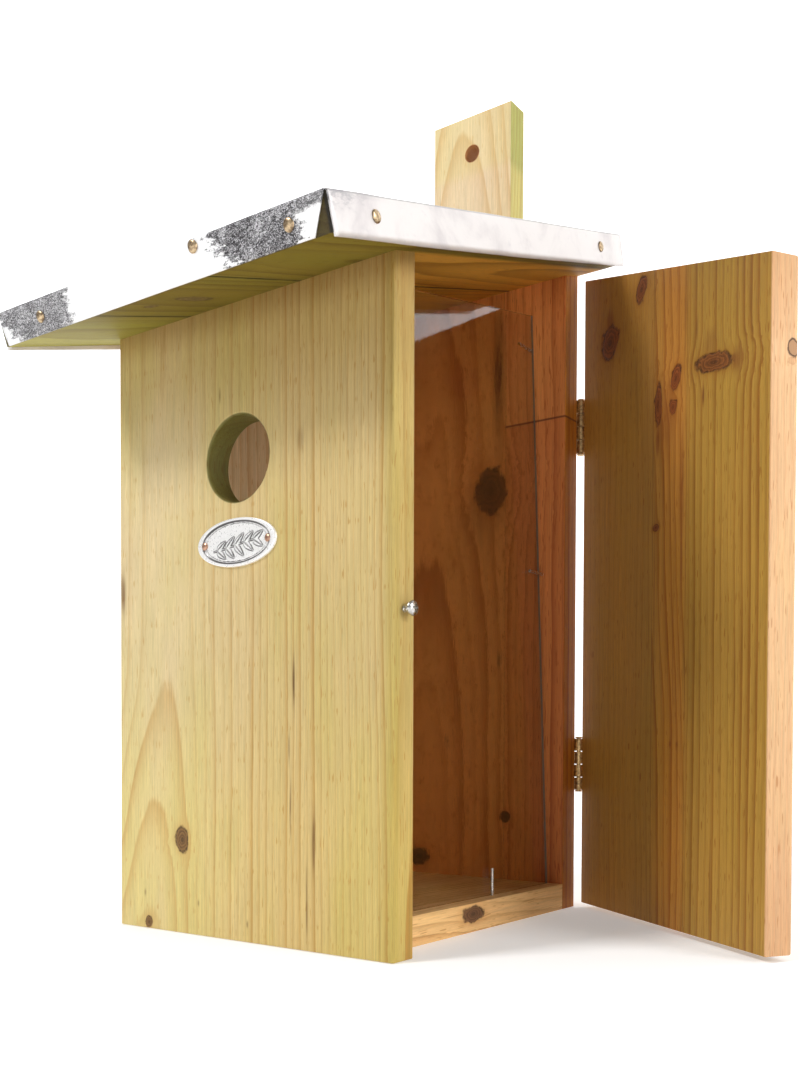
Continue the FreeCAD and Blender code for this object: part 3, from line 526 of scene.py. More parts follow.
def butt_joint(w, point, colour):
    """The back board's right strip is two lengths that meet at a dark joint, and its outer face is
    plain pale wood. Its inner face keeps the inside colour, which is painted light and shade."""
    across, depth, along = w.split(point)
    right = w.ramp(across, BACK_STAVE - 0.3, BACK_STAVE + 0.3)
    lower = w.mul(right, w.ramp(along, BACK_JOINT + 0.6, BACK_JOINT - 0.2))
    colour = w.tint(lower, colour, (0.94, 0.86, 0.86))
    line = w.mul(w.ramp(w.gap(along, BACK_JOINT), 0.2, 0.7, 0.8, 0.0), right)
    colour = w.mix(line, colour, (0.10, 0.03, 0.012))
    look = bpy.context.scene.nest_pine
    plain = times(tuple(look.front), 0.95, 0.93, 0.9)
    # The outer face is turned from the painted inside colour to plain pale wood.
    pale = w.mix(1.0, colour, times(plain, *(1.0 / tone for tone in look.inside)), "MULTIPLY")
    return w.mix(w.ramp(depth, BACK_FACE + 0.5, BACK_FACE), pale, colour)


def green_side(w, point, colour):
    """The batten's edge is greener at its upper end, and its hole's wall is brown end grain."""
    across, depth, along = w.split(point)
    edge = w.ramp(across, BATTEN_EDGE - 0.25, BATTEN_EDGE)
    colour = w.tint(w.mul(edge, w.ramp(along, 366.0, 374.0)), colour, (0.74, 0.80, 0.74))
    out = w.vec("LENGTH", w.join(across, 0.0, w.sub(along, BATTEN_HOLE)))
    return w.mix(w.mul(w.ramp(out, 4.6, 4.3), 0.9), colour, (0.40, 0.16, 0.045))


# Marks on the boards, as pine() reads them.
FRONT_STREAKS = [
    (26.8, 103.0, 0.7, 9.0, 1.0), (24.4, 77.0, 0.45, 6.0, 0.5), (25.2, 53.0, 0.5, 11.0, 0.7),
    (37.0, 41.0, 0.9, 12.0, 0.8), (33.6, 18.0, 0.6, 14.0, 0.7), (-73.0, 143.0, 1.8, 9.0, 0.8),
    (-13.2, 217.0, 0.5, 3.0, 0.6), (30.0, 193.0, 1.8, 5.0, 0.35), (-19.6, 133.0, 0.4, 5.0, 0.35),
    (-59.0, 15.0, 0.7, 1.6, 0.5), (-26.0, 13.0, 0.6, 1.4, 0.5), (2.0, 7.0, 0.6, 1.6, 0.5)]
# Front bands, in order: a greener strip at the right edge; darker from the left edge towards the right,
# painted shade away from the front-left light; lighter and warmer towards the bottom; darker over the top 70
# mm, painted shade under the roof's overhang; darker again in the top 17 mm, a painted shadow line under the
# roof; lighter and bluer behind the front face, painted light on the board's edges.
FRONT_BANDS = [
    (0, 66.0, 75.0, (0.85, 0.84, 0.62), 1.0), (0, -70.0, 40.0, (0.87, 0.82, 0.66), 1.0),
    (2, 120.0, 30.0, (1.12, 1.11, 1.0), 1.0), (2, 185.0, 238.0, (0.78, 0.72, 0.60), 1.0),
    (2, 236.0, 253.0, (0.84, 0.74, 0.62), 1.0), (1, -78.0, -76.0, (1.06, 1.04, 1.15), 1.0)]
DOOR_STAVES = [
    (-400, -70.0, 40.0, 0.0, 0.03, 500.0, 4.4, 5.0), (67, 48.0, 40.0, 0.0, 0.03, 500.0, 3.0, 4.5),
    (93, -210.0, 8.0, 0.0, 0.0, 900.0, 4.6, 2.4)]
DOOR_KNOTS = [
    (28.0, 264.0, 8.6, 8.0, 1.0, 0), (55.6, 277.2, 4.6, 6.4, 0.8, -42), (84.4, 229.8, 3.8, 5.4, 0.9, -27),
    (71.4, 223.0, 3.4, 9.0, 0.6, -4), (82.6, 218.6, 2.8, 3.4, 0.6, 0), (111.7, 227.2, 13.6, 3.9, 0.35, -13.8),
    (69.8, 171.4, 2.4, 1.6, 0.7, 0)]
DOOR_STREAKS = [
    (104.6, 216.5, 0.8, 4.5, 0.95), (89.9, 184.0, 1.5, 26.0, 0.6), (89.8, 158.0, 0.9, 22.0, 0.5),
    (70.8, 208.0, 1.6, 7.0, 0.85), (75.5, 190.0, 0.8, 18.0, 0.35), (82.4, 79.0, 1.0, 1.6, 0.7),
    (87.6, 79.0, 1.0, 1.4, 0.6), (58.3, 64.5, 0.8, 2.0, 0.6), (117.7, 69.0, 0.8, 1.6, 0.5),
    (112.0, 21.0, 0.5, 15.0, 0.6), (109.0, 236.0, 5.0, 5.5, 0.35), (127.5, 223.0, 3.6, 5.0, 0.6),
    (27.6, 274.5, 3.4, 5.0, 0.6), (92.0, 258.0, 1.6, 14.0, 0.35), (78.0, 215.0, 7.5, 16.0, 0.45),
    (68.6, 140.0, 0.7, 45.0, 0.4), (84.0, 120.0, 0.6, 50.0, 0.3), (100.0, 245.0, 0.7, 5.0, 0.5)]
# Door bands, across from the hinge line and up: the first three change the tone near the staves' edges; the
# fourth brings the free edge's end face back to pale, bluish wood from the painted-shade door colour; the
# fifth lifts the wood near the hinge, painted light over the shade there; the last darkens the top, a painted
# shadow of the roof.
DOOR_BANDS = [
    (0, 72.0, 78.0, (1.08, 0.97, 0.85), 0.8), (0, 64.0, 73.0, (1.24, 1.18, 1.0), 1.0),
    (0, 88.0, 98.0, (0.84, 1.06, 1.12), 1.0), (0, 146.8, 147.5, (1.75, 1.95, 6.0), 1.0),
    (0, 80.0, 20.0, (1.30, 1.20, 0.95), 1.0), (2, 215.0, 285.0, (0.80, 0.76, 0.66), 1.0)]
BACK_STREAKS = [
    (23.5, 262.0, 3.2, 34.0, 0.8), (24.5, 120.5, 0.8, 4.0, 0.6), (-7.0, 80.0, 0.7, 4.0, 0.5),
    (14.0, 196.0, 14.0, 18.0, 0.28)]
PLANKS = {                           # knots, and the band across that darkens an outer edge
    "left": ((), (0, -70, -71, (0.16, 0.15, 0.2), 0.0)),
    "middle": (((-1.0, -25.0, 3.2, 9.0, 0.6, 0), (-14.0, -35.0, 2, 3, 0.6, 0)),
               (0, -70, -71, (0.16, 0.15, 0.2), 0.0)),
    "right": ((), (0, 84.5, 85.6, (0.16, 0.15, 0.2), 1.0))}


def shades(early, late, tint):
    """A board's three woods, from its pale wood and what the other two multiply it by."""
    return {"early": early, "late": times(early, *late), "tint": times(early, *tint)}


def pine_finishes():
    """The pine of each board, with its own grain, knots, streaks and tints, and painted light and shade where
    the bands and extras mark it.
    """
    look = bpy.context.scene.nest_pine
    GROUPS.update(knot=knot_group(), growth=growth_group(), pine=pine_group())
    made = {}
    made["front_panel"] = pine(
        "pine_front", UPRIGHT, [(-80, -57.0, -37.0, 0.122, 0.068, 108.0, 3.2, 1.7)],
        knots=[(-35.6, 38.6, 4.2, 5.4, 0.8, 8), (-56.5, 2.5, 2.5, 2.5, 0.5, 0)],
        streaks=FRONT_STREAKS, bands=FRONT_BANDS, tint_amount=0.7, line=0.95, knot=(0.17, 0.085, 0.03),
        seed=3.28, extra=green_and_shaded_bore,
        **shades(tuple(look.front), (0.76, 0.60, 0.38), (0.90, 0.97, 0.66)))
    made["side_door"] = pine(
        "pine_door", ALONG_DOOR, DOOR_STAVES, knots=DOOR_KNOTS, streaks=DOOR_STREAKS, bands=DOOR_BANDS,
        tint_amount=0.5, knot=(0.17, 0.05, 0.014), line=1.3, seed=11.0, quiet=(62.0, 72.0, 0.3),
        extra=end_knot, **shades(tuple(look.door), (0.66, 0.50, 0.36), (0.93, 1.02, 0.80)))
    made["back_panel"] = pine(
        "pine_back", UPRIGHT,
        [(-80, -30.0, 110.0, 0.05, 0.08, 500.0, 6.0, 6.0),
         (BACK_STAVE, 90.0, 20.0, 0.0, 0.0, 500.0, 3.6, 3.0)],
        knots=[(19.0, 205.0, 9.5, 12.0, 0.9, 0), (28.3, 43.0, 3.0, 3.0, 0.5, 0),
               (-24.4, 20.4, 6.0, 5.0, 0.5, 0)],
        streaks=BACK_STREAKS,
        bands=[(0, 61.5, 61.95, (0.8, 0.88, 0.32), 1.0), (0, 30.0, 60.0, (0.70, 0.60, 0.58), 1.0)],
        knot=(0.12, 0.035, 0.014), seed=5.0, extra=butt_joint,
        **shades(tuple(look.inside), (0.62, 0.48, 0.38), (0.9, 1.02, 0.9)))
    # The left board's colours are the warm inside tone, painted light and shade; left_wall turns its outer
    # face to plain wood.
    made["left_side_panel"] = pine(
        "pine_left", SIDEWAYS, [(-80, 10.0, -120.0, 0.05, 0.05, 500.0, 3.2, 4.0)], seed=8.0,
        early=(1.0, 0.74, 0.36), late=(0.76, 0.42, 0.16), tint=(0.96, 0.72, 0.32), extra=left_wall)
    made["floor_panel"] = pine(
        "pine_floor", FRONT_TO_BACK, [(-80, -22.0, 90.0, 0.0, 0.05, 500.0, 3.4, 4.0)],
        knots=[(7.5, -9.0, 3.6, 8.0, 0.7, 0)], knot=(0.14, 0.06, 0.025), seed=9.0,
        early=(0.97, 0.64, 0.27), late=(0.60, 0.31, 0.10), tint=(0.75, 0.41, 0.19))
    made["hanging_batten"] = pine(
        "pine_batten", UPRIGHT, [(-80, -4.0, 112.0, 0.0, 0.05, 900.0, 2.6, 2.0)],
        bands=[(0, 23.2, 23.45, (0.72, 0.82, 0.46), 1.0), (0, -10.0, 24.0, (0.93, 0.91, 0.87), 1.0),
               (2, 368.0, 376.0, (0.97, 1.0, 0.86), 1.0)],
        seed=10.0, extra=green_side, **shades(tuple(look.batten), (0.86, 0.74, 0.55), (0.95, 0.98, 0.8)))
    for k, (side, (knots, outer)) in enumerate(PLANKS.items()):
        made[f"roof_plank_{side}"] = pine(
            f"pine_roof_{side}", UP_THE_SLOPE, [(-90, -62.0 + 60.0 * k, -45.0, 0.0, 0.03, 500.0, 3.4, 4.0)],
            knots=knots, knot=(0.16, 0.10, 0.03), seed=20.0 + 3 * k, extra=painted_inside_shade_and_joints,
            # The second band lifts the planks' left part towards the left edge, painted light where the
            # floor's bounce falls on the underside; the third darkens the planks' front end faces.
            bands=[outer, (0, -15.0, -80.0, (1.9, 2.3, 4.0), 1.0), (2, -47.5, -47.85, (0.3, 0.28, 0.5), 1.0)],
            **shades(tuple(look.roof), (0.62, 0.55, 0.4), (0.84, 1.0, 0.75)))
    return made


# ---------------------------------------------------------------- metals and pane

def object_point(w, scale=1000.0):
    """Object coordinates, in millimetres by default."""
    turn = w.node("ShaderNodeMapping", vector_type="POINT")
    w.feed(turn.inputs["Vector"], w.node("ShaderNodeTexCoord").outputs["Object"])
    turn.inputs["Scale"].default_value = (scale, scale, scale)
    return turn.outputs[0]


def zinc():
    """Thin bright zinc: faint grey smudges; a front fold lifted brighter, painted light; near-black patches
    of fine crossed needles on the front fold, painted reflections of dark surroundings; and a painted dark
    reflection near the front-right corner.
    """
    look = bpy.context.scene.nest_zinc
    material, w, shader = new_material("zinc_sheet")
    point = board_point(w, UP_THE_SLOPE)
    across, above, along = w.split(point)
    cloud = w.noise(point, 0.035, 5.0, 0.62, 0.4)
    haze = w.noise(point, 0.25, 3.0, 0.6)
    # Fewer grey smudges on the front fold, which below is lifted brighter: painted light where the front
    # light falls on it.
    quiet = w.ramp(along, *FRONT_FOLD[::-1], 0.25, 1.0)
    colour = w.mix(w.mul(w.ramp(cloud, 0.46, 0.72, 0.0, 0.6), quiet), tuple(look.bright), (0.60, 0.575, 0.60))
    colour = w.mix(w.mul(w.ramp(haze, 0.6, 0.8, 0.0, 0.4), quiet), colour, (0.62, 0.61, 0.64))
    # Painted light: the front fold is lifted brighter.
    front = w.ramp(along, *FRONT_FOLD)
    colour = w.tint(front, colour, (1.13, 1.14, 1.15))
    # The three patches on the front fold are painted dark reflections of the surroundings; the crossed
    # needles give them a crystalline texture.
    needles = w.noise(w.stretch(point, (1.6, 0.7, 0.7)), 1.0, 4.0, 0.75, 2.6)
    cross = w.noise(w.stretch(point, (0.7, 1.9, 0.8)), 1.0, 3.0, 0.7, 1.8)
    edge = w.mul(w.sub(w.noise(w.stretch(point, (0.16, 0.4, 0.4)), 1.0, 5.0, 0.75), 0.5), 34.0)
    slant = w.add(w.add(across, w.mul(above, 0.9)), edge)
    right = w.mul(w.ramp(slant, 42.0, 45.0), w.ramp(w.add(across, w.mul(edge, 0.7)), 73.0, 76.0, 1.0, 0.0))
    crest = w.mul(w.ramp(w.add(across, edge), 46.0, 50.0), w.ramp(w.add(above, w.mul(edge, 0.12)), 8.2, 9.2))
    left = w.mul(w.ramp(slant, -79.0, -75.0), w.ramp(w.add(across, w.mul(edge, 0.6)), -44.0, -41.0, 1.0, 0.0))
    reflection_patch = w.math("MAXIMUM", w.math("MAXIMUM", right, w.mul(crest, 0.9)), w.mul(left, 0.94))
    reflection_patch = w.mul(reflection_patch, front)
    blotch = w.mul(w.ramp(w.noise(point, 0.09, 2.0), 0.42, 0.58), 0.06)
    needle_texture = w.ramp(w.sub(w.add(needles, w.mul(w.sub(cross, 0.5), 1.1)), blotch), 0.42, 0.63)
    # Near-black where the needles are dense: painted reflection.
    dull = w.mix(needle_texture, tuple(look.dull), (0.72, 0.71, 0.73))
    colour = w.mix(reflection_patch, colour, dull)
    colour = w.tint(w.ramp(w.gap(across), 85.9, 86.4), colour, (0.80, 0.77, 0.755))
    # Painted dark reflection near the front-right corner.
    corner = w.noise(w.stretch(point, (0.2, 0.3, 0.12)), 1.0, 4.0, 0.7)
    corner_reflection = w.mul(w.mul(w.ramp(along, -18.0, -44.0), w.ramp(w.add(above, w.mul(corner, 6.0)), 9.0, 14.0)),
                   w.ramp(corner, 0.42, 0.62))
    colour = w.mix(w.mul(corner_reflection, w.ramp(across, 80.0, 86.0, 0.0, 0.8)), colour, (0.30, 0.29, 0.31))
    crease = w.mul(w.ramp(w.gap(above, 12.2), 0.0, 0.5, 0.65, 0.0), w.ramp(along, -47.4, -46.9))
    colour = w.mix(crease, colour, (0.36, 0.35, 0.36))
    w.feed(shader.inputs["Base Color"], colour)
    shader.inputs["Metallic"].default_value = 0.55
    w.feed(shader.inputs["Roughness"], w.blendf(reflection_patch, w.ramp(cloud, 0.3, 0.7, 0.40, 0.52), 0.34))
    bump(w, shader, w.add(w.mul(haze, 0.5), w.mul(w.mul(needle_texture, reflection_patch), 0.6)), 0.00012, 0.7)
    return material


def metal(name, bright, dull, rough=0.3, scale=0.8, grime=0.5):
    """A small metal fitting: bright metal with duller cloudy patches and fine scratches."""
    material, w, shader = new_material(name)
    point = object_point(w)
    cloud = w.noise(point, scale, 4.0, 0.65)
    scratch = w.noise(w.stretch(point, (1.0, 6.0, 0.8)), 1.4, 3.0, 0.6, 0.5)
    colour = w.mix(w.ramp(cloud, 0.38, 0.68, 0.0, grime * 1.6), bright, dull)
    w.feed(shader.inputs["Base Color"], colour)
    shader.inputs["Metallic"].default_value = 1.0
    worn = w.add(w.mul(cloud, 0.6), w.mul(scratch, 0.4))
    w.feed(shader.inputs["Roughness"], w.ramp(worn, 0.3, 0.7, rough, rough + 0.22))
    bump(w, shader, w.add(cloud, w.mul(scratch, 0.6)), 0.00004, 0.6)
    return material


def polished_plate():
    """Polished plate metal whose steep flanks hold dark patina, read from the plate's own attribute."""
    material = metal("polished_plate", (0.97, 0.96, 0.95), (0.80, 0.79, 0.78), 0.22, 1.1, 0.25)
    w = Wires(material.node_tree)
    shader = next(n for n in material.node_tree.nodes if n.type == "BSDF_PRINCIPLED")
    colour = shader.inputs["Base Color"].links[0].from_socket
    steep = w.node("ShaderNodeAttribute", attribute_name="patina").outputs["Fac"]
    colour = w.mix(w.ramp(steep, 0.1, 0.5, 0.0, 0.95), colour, (0.035, 0.03, 0.03))
    w.feed(shader.inputs["Base Color"], colour)
    shader.inputs["Metallic"].default_value = 0.4
    return material


def clear_acrylic():
    """Clear pane with faint smears; its cut edges at front and rear are a smoky green."""
    material, w, shader = new_material("clear_acrylic")
    point = object_point(w)
    y = w.split(point)[1]
    smear = w.noise(w.stretch(point, (0.05, 0.09, 0.03)), 1.0, 5.0, 0.65)
    rim = w.ramp(w.gap(y), 66.2, 66.42)
    w.feed(shader.inputs["Base Color"], w.mix(rim, (0.97, 0.985, 0.98), (0.20, 0.16, 0.09)))
    w.feed(shader.inputs["Transmission Weight"], w.ramp(rim, 0.0, 1.0, 1.0, 0.25))
    shader.inputs["IOR"].default_value = 1.49
    rough = w.math("MAXIMUM", w.ramp(smear, 0.5, 0.75, 0.0, 0.06), w.mul(rim, 0.35))
    w.feed(shader.inputs["Roughness"], rough)
    bump(w, shader, smear, 0.0003, 0.2)
    return material


# ---------------------------------------------------------------- shapes

def put(name, points, faces, material, slot, body="box", smooth=None, stands_for=()):
    """Makes a mesh object at the origin from point and face arrays, tied to its body. The slot is not used.
    """
    mesh = bpy.data.meshes.new(name)
    mesh.from_pydata(np.asarray(points).reshape(-1, 3).tolist(), [], [list(map(int, f)) for f in faces])
    mesh.validate()
    mesh.materials.append(material)
    if smooth is None:
        mesh.shade_smooth()
    else:
        mesh.shade_flat()
        mesh.shade_smooth()
        mesh.set_sharp_from_angle(angle=smooth)
    piece = bpy.data.objects.new(name, mesh)
    bpy.context.scene.collection.objects.link(piece)
    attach(piece, body)
    if stands_for:
        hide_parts(*stands_for)
    return piece


def grid_faces(rows, cols, wrap=False, start=0):
    """Quads of a grid stored row by row; wrap joins the last column to the first."""
    index = np.arange(rows * cols).reshape(rows, cols) + start
    nxt = np.roll(index, -1, axis=1) if wrap else index[:, 1:]
    now = index if wrap else index[:, :-1]
    return np.stack([now[:-1], nxt[:-1], nxt[1:], now[1:]], axis=-1).reshape(-1, 4)


def turned(profile, steps, centre, axis, side, wobble=0.0):
    """A turned shape: a profile of (radius, height) pairs carried round an axis.

    A point is centre + height * axis + radius * (cos t * side + sin t * (axis x side)), and the radius
    swells by wobble * cos 3t. The first and last radii are zero, so that both ends close in a pole."""
    profile = np.asarray(profile, float)
    t = np.linspace(0.0, 2.0 * np.pi, steps, endpoint=False)
    axis, side = np.asarray(axis, float), np.asarray(side, float)
    across = np.cross(axis, side)
    radius = profile[1:-1, :1] * (1.0 + wobble * np.cos(3.0 * t))[None, :]
    ring = np.asarray(centre)[None, None] + profile[1:-1, 1][:, None, None] * axis \
        + radius[..., None] * (np.cos(t)[None, :, None] * side + np.sin(t)[None, :, None] * across)
    ends = np.asarray(centre) + profile[[0, -1], 1][:, None] * axis
    rows = len(profile) - 2
    points = np.concatenate([ends[:1], ring.reshape(-1, 3), ends[1:]])
    faces = [list(f) for f in grid_faces(rows, steps, wrap=True, start=1)]
    first, last = np.arange(steps) + 1, np.arange(steps) + 1 + (rows - 1) * steps
    faces += [[0, b, a] for a, b in zip(first, np.roll(first, -1))]
    faces += [[len(points) - 1, a, b] for a, b in zip(last, np.roll(last, -1))]
    return points, faces


def gather(shapes):
    """Joins point and face lists into one, with the faces' numbers moved up."""
    points, faces, count = [], [], 0
    for own_points, own_faces in shapes:
        points.append(own_points)
        faces += [[v + count for v in f] for f in own_faces]
        count += len(own_points)
    return np.concatenate(points), faces


def nail_profile(head, dome, shank, length, rounds=9):
    """A nail from the tip up: point, shank, flat under the head, then a dome that is a flattened arc."""
    t = np.linspace(0.0, np.pi / 2, rounds)
    cap = np.stack([head * np.cos(t), 0.12 * MM + (dome - 0.12 * MM) * np.sin(t)], axis=1)
    shaft = np.array([[0.0, -length], [0.35 * shank, -length + 0.6 * MM], [shank, -length + 2.2 * MM],
                      [shank, 0.0], [head * 0.96, 0.0]])
    return np.concatenate([shaft, cap])


def on_roof(across, along, above):
    """A point in the roof's frame (across, up the slope, off the underside; metres) as a place."""
    c, s = math.cos(ROOF_SLOPE), math.sin(ROOF_SLOPE)
    across, along, above = np.broadcast_arrays(across, along, above)
    return np.stack([across, -0.080 + along * c - above * s, 0.252 + along * s + above * c], axis=-1)


ROOF = {"half": 0.0860, "front": -0.0455 / math.cos(ROOF_SLOPE),
        "rear": 0.160 / math.cos(ROOF_SLOPE) - 0.001, "top": 0.0120, "sheet": 0.0007}
ROOF_BACK = np.array([0.0, math.cos(ROOF_SLOPE), math.sin(ROOF_SLOPE)])


def folded(half_low, half_high, drop_low, drop_high, top, bend, steps):
    """A run across a folded sheet: down one fold, round a quarter circle, over the top, and down.

    Gives the run's positions, its heights, and where the flat top starts and ends."""
    t = np.linspace(0.0, np.pi / 2, 7)
    low = np.linspace(drop_low, top - bend, 7)[:-1]
    high = np.linspace(top - bend, drop_high, 7)[1:]
    flat = np.linspace(half_low + bend, half_high - bend, steps)[1:-1]
    run = np.concatenate([np.full(6, half_low), half_low + bend * (1 - np.cos(t)), flat,
                          half_high - bend * (1 - np.sin(t)), np.full(6, half_high)])
    rise = np.concatenate([low, top - bend * (1 - np.sin(t)), np.full(len(flat), top),
                           top - bend * (1 - np.cos(t)), high])
    return run, rise, 12, 12 + len(flat) + 1


def make_zinc_sheet(material):
    """Zinc sheet as one grid over (across, along), where each direction is a folded run.

    Height is the sum of both runs' heights less the top's. The grid's four corners, where both runs
    are folded, are left out. The end folds narrow towards their lower edges; the side folds' lower
    edges wander by a sum of slow sines; the flat ripples by a product of sines."""
    look = bpy.context.scene.nest_zinc
    half, sheet, top = ROOF["half"] + ROOF["sheet"], ROOF["sheet"], ROOF["top"] + ROOF["sheet"]
    x, hx, x0, x1 = folded(-half, half, -0.0012, -0.0012, top, look.bend, 90)
    y, hy, y0, y1 = folded(ROOF["front"] - sheet, ROOF["rear"] + sheet, 0.0, 0.0, top, look.bend, 110)
    gx, gy = np.meshgrid(x, y, indexing="ij")
    hxx, hyy = np.meshgrid(hx, hy, indexing="ij")
    i, j = np.meshgrid(np.arange(len(x)), np.arange(len(y)), indexing="ij")
    drop = np.clip((top - look.bend - hyy) / (top - look.bend), 0.0, 1.0)
    gx = gx - np.where(gx > 0, 0.0066, 0.0018) * drop * gx / half
    side = np.clip((top - look.bend - hxx) / top, 0.0, 1.0)
    k = gy / MM
    wander = 0.9 * np.sin((k + 48.0) * 0.0151) + 0.09 * np.sin(k * 0.083 + 1.0) + 0.03 * np.sin(k * 0.21)
    wander = wander * look.sag * 0.6
    ripple = look.ripple * (np.sin(gx / MM * 0.071 + 0.6) * np.sin(k * 0.052) + 0.5 * np.sin(gx / MM * 0.16) *
                            np.sin(k * 0.11 + 2.0)) ** 2
    fold_wave = 0.00012 * (np.sin(k * 0.061 + 2.0) + 0.5 * np.sin(k * 0.19)) * side
    end_wave = 0.00022 * (np.sin(gx / MM * 0.055 + 1.0) + 0.4 * np.sin(gx / MM * 0.17)) * drop
    flat = (side == 0) & (drop == 0)
    height = hxx + hyy - top - side * np.maximum(wander, -0.3 * MM) + np.where(flat, ripple, 0.0)
    gx = gx + np.sign(gx) * np.maximum(fold_wave, 0.0)
    gy = gy + np.where(k < 60.0, -1.0, 1.0) * np.maximum(end_wave, 0.0)
    points = on_roof(gx, gy, height)
    faces = grid_faces(len(x), len(y))
    ci, cj = i[:-1, :-1].reshape(-1), j[:-1, :-1].reshape(-1)
    middle_i, middle_j = (ci >= x0) & (ci < x1), (cj >= y0) & (cj < y1)
    faces = faces[middle_i | middle_j]
    used = np.unique(faces)
    renumber = np.full(len(x) * len(y), -1)
    renumber[used] = np.arange(len(used))
    piece = put("zinc_roof_sheet", points.reshape(-1, 3)[used], renumber[faces][:, ::-1], material, "zinc",
                smooth=math.radians(40), stands_for=("roof_sheet",))
    solid = piece.modifiers.new("sheet_thickness", "SOLIDIFY")
    solid.thickness = sheet - 0.00004
    solid.offset = -1.0
    return piece


def make_roof_nails(material):
    """Nine domed nails: a nail profile turned about each nail's own line, at places read up the slope."""
    look = bpy.context.scene.nest_fittings
    half, sheet = ROOF["half"], ROOF["sheet"]
    front, rear = ROOF["front"] - sheet, ROOF["rear"] + sheet
    middle, sideways = ROOF["top"] / 2, np.array([1.0, 0.0, 0.0])
    spots = [((half - 0.016, front, middle), -ROOF_BACK),
             ((0.027, front, ROOF["top"] + sheet - 0.00264), -ROOF_BACK),
             ((0.026 - half, front, middle), -ROOF_BACK)]
    for along in (ROOF["front"] + 0.0235, ROOF["rear"] - 0.0235):
        spots += [((sign * (half + sheet), along, middle), sign * sideways) for sign in (1.0, -1.0)]
    spots += [((half - 0.008, rear, middle), ROOF_BACK), ((0.008 - half, rear, middle), ROOF_BACK)]
    shapes, profile = [], nail_profile(0.0022, look.dome, 0.0008, 0.0140)
    for k, (spot, way) in enumerate(spots):
        side = sideways if abs(way[0]) < 0.5 else ROOF_BACK
        foot = on_roof(*spot) + way * 0.0001
        shapes.append(turned(profile, look.turns, foot, way, side, 0.02 + 0.006 * (k % 3)))
    return put("domed_roof_nails", *gather(shapes), material, "brass", smooth=math.radians(50),
               stands_for=("roof_sheet_nails",))


def plate_height(x, z, a, b, relief):
    """Height of the cast oval plate over its back, as a function of the point on it.

    A flat plate, a raised half-round rim, a groove inside it, and a sprig: a bowed stem and paired
    leaves, each leaf a smooth bump that falls to nothing at the edge of an ellipse, with a vein cut in."""
    ring = np.sqrt((x / a) ** 2 + (z / b) ** 2)
    inset = (1.0 - ring) * b
    rim = 0.0004 * np.sqrt(np.clip(1.0 - ((inset - 0.00075) / 0.00075) ** 2, 0.0, 1.0))
    groove = -0.00018 * np.exp(-((inset - 0.0019) / 0.00032) ** 2)
    stem_z = -0.0012 + 0.0016 * np.sin(x / 0.0135 * 1.4)
    raised = np.where(np.abs(x) < 0.0125, np.exp(-((z - stem_z) / 0.00034) ** 2), 0.0) * 0.7
    for k, s in enumerate(np.linspace(-0.0100, 0.0100, 5)):
        for up in (1.0, -1.0):
            turn = math.radians(36.0 + 8.0 * math.sin(k)) * up
            length, width = 0.0037 - 0.0003 * abs(k - 2), 0.00125
            cx = s + 0.0026 * math.cos(turn)
            cz = (-0.0012 + 0.0016 * math.sin(s / 0.0135 * 1.4)) + 0.0031 * math.sin(turn)
            u = (x - cx) * math.cos(turn) + (z - cz) * math.sin(turn)
            v = -(x - cx) * math.sin(turn) + (z - cz) * math.cos(turn)
            d = (u / length) ** 2 + (v / (width * (1.15 - 0.5 * u / length))) ** 2
            leaf = np.clip(1.0 - d, 0.0, 1.0) ** 0.5 * (1.0 - 0.55 * np.exp(-(v / 0.00020) ** 2))
            raised = np.maximum(raised, leaf)
    ripple = 0.00003 * np.sin(x * 1900.0 + 2.0 * np.sin(z * 1300.0)) * np.sin(z * 2300.0)
    return 0.0007 + rim + groove + relief * raised + ripple * (inset > 0.0015)


def steepness(x, z, a, b, relief, reach=0.00012):
    """How steep the plate's face is at a point, from the height a short reach to each side."""
    dx = plate_height(x + reach, z, a, b, relief) - plate_height(x - reach, z, a, b, relief)
    dz = plate_height(x, z + reach, a, b, relief) - plate_height(x, z - reach, a, b, relief)
    return np.clip(np.hypot(dx, dz) / (2.0 * reach) / 0.9, 0.0, 1.0)


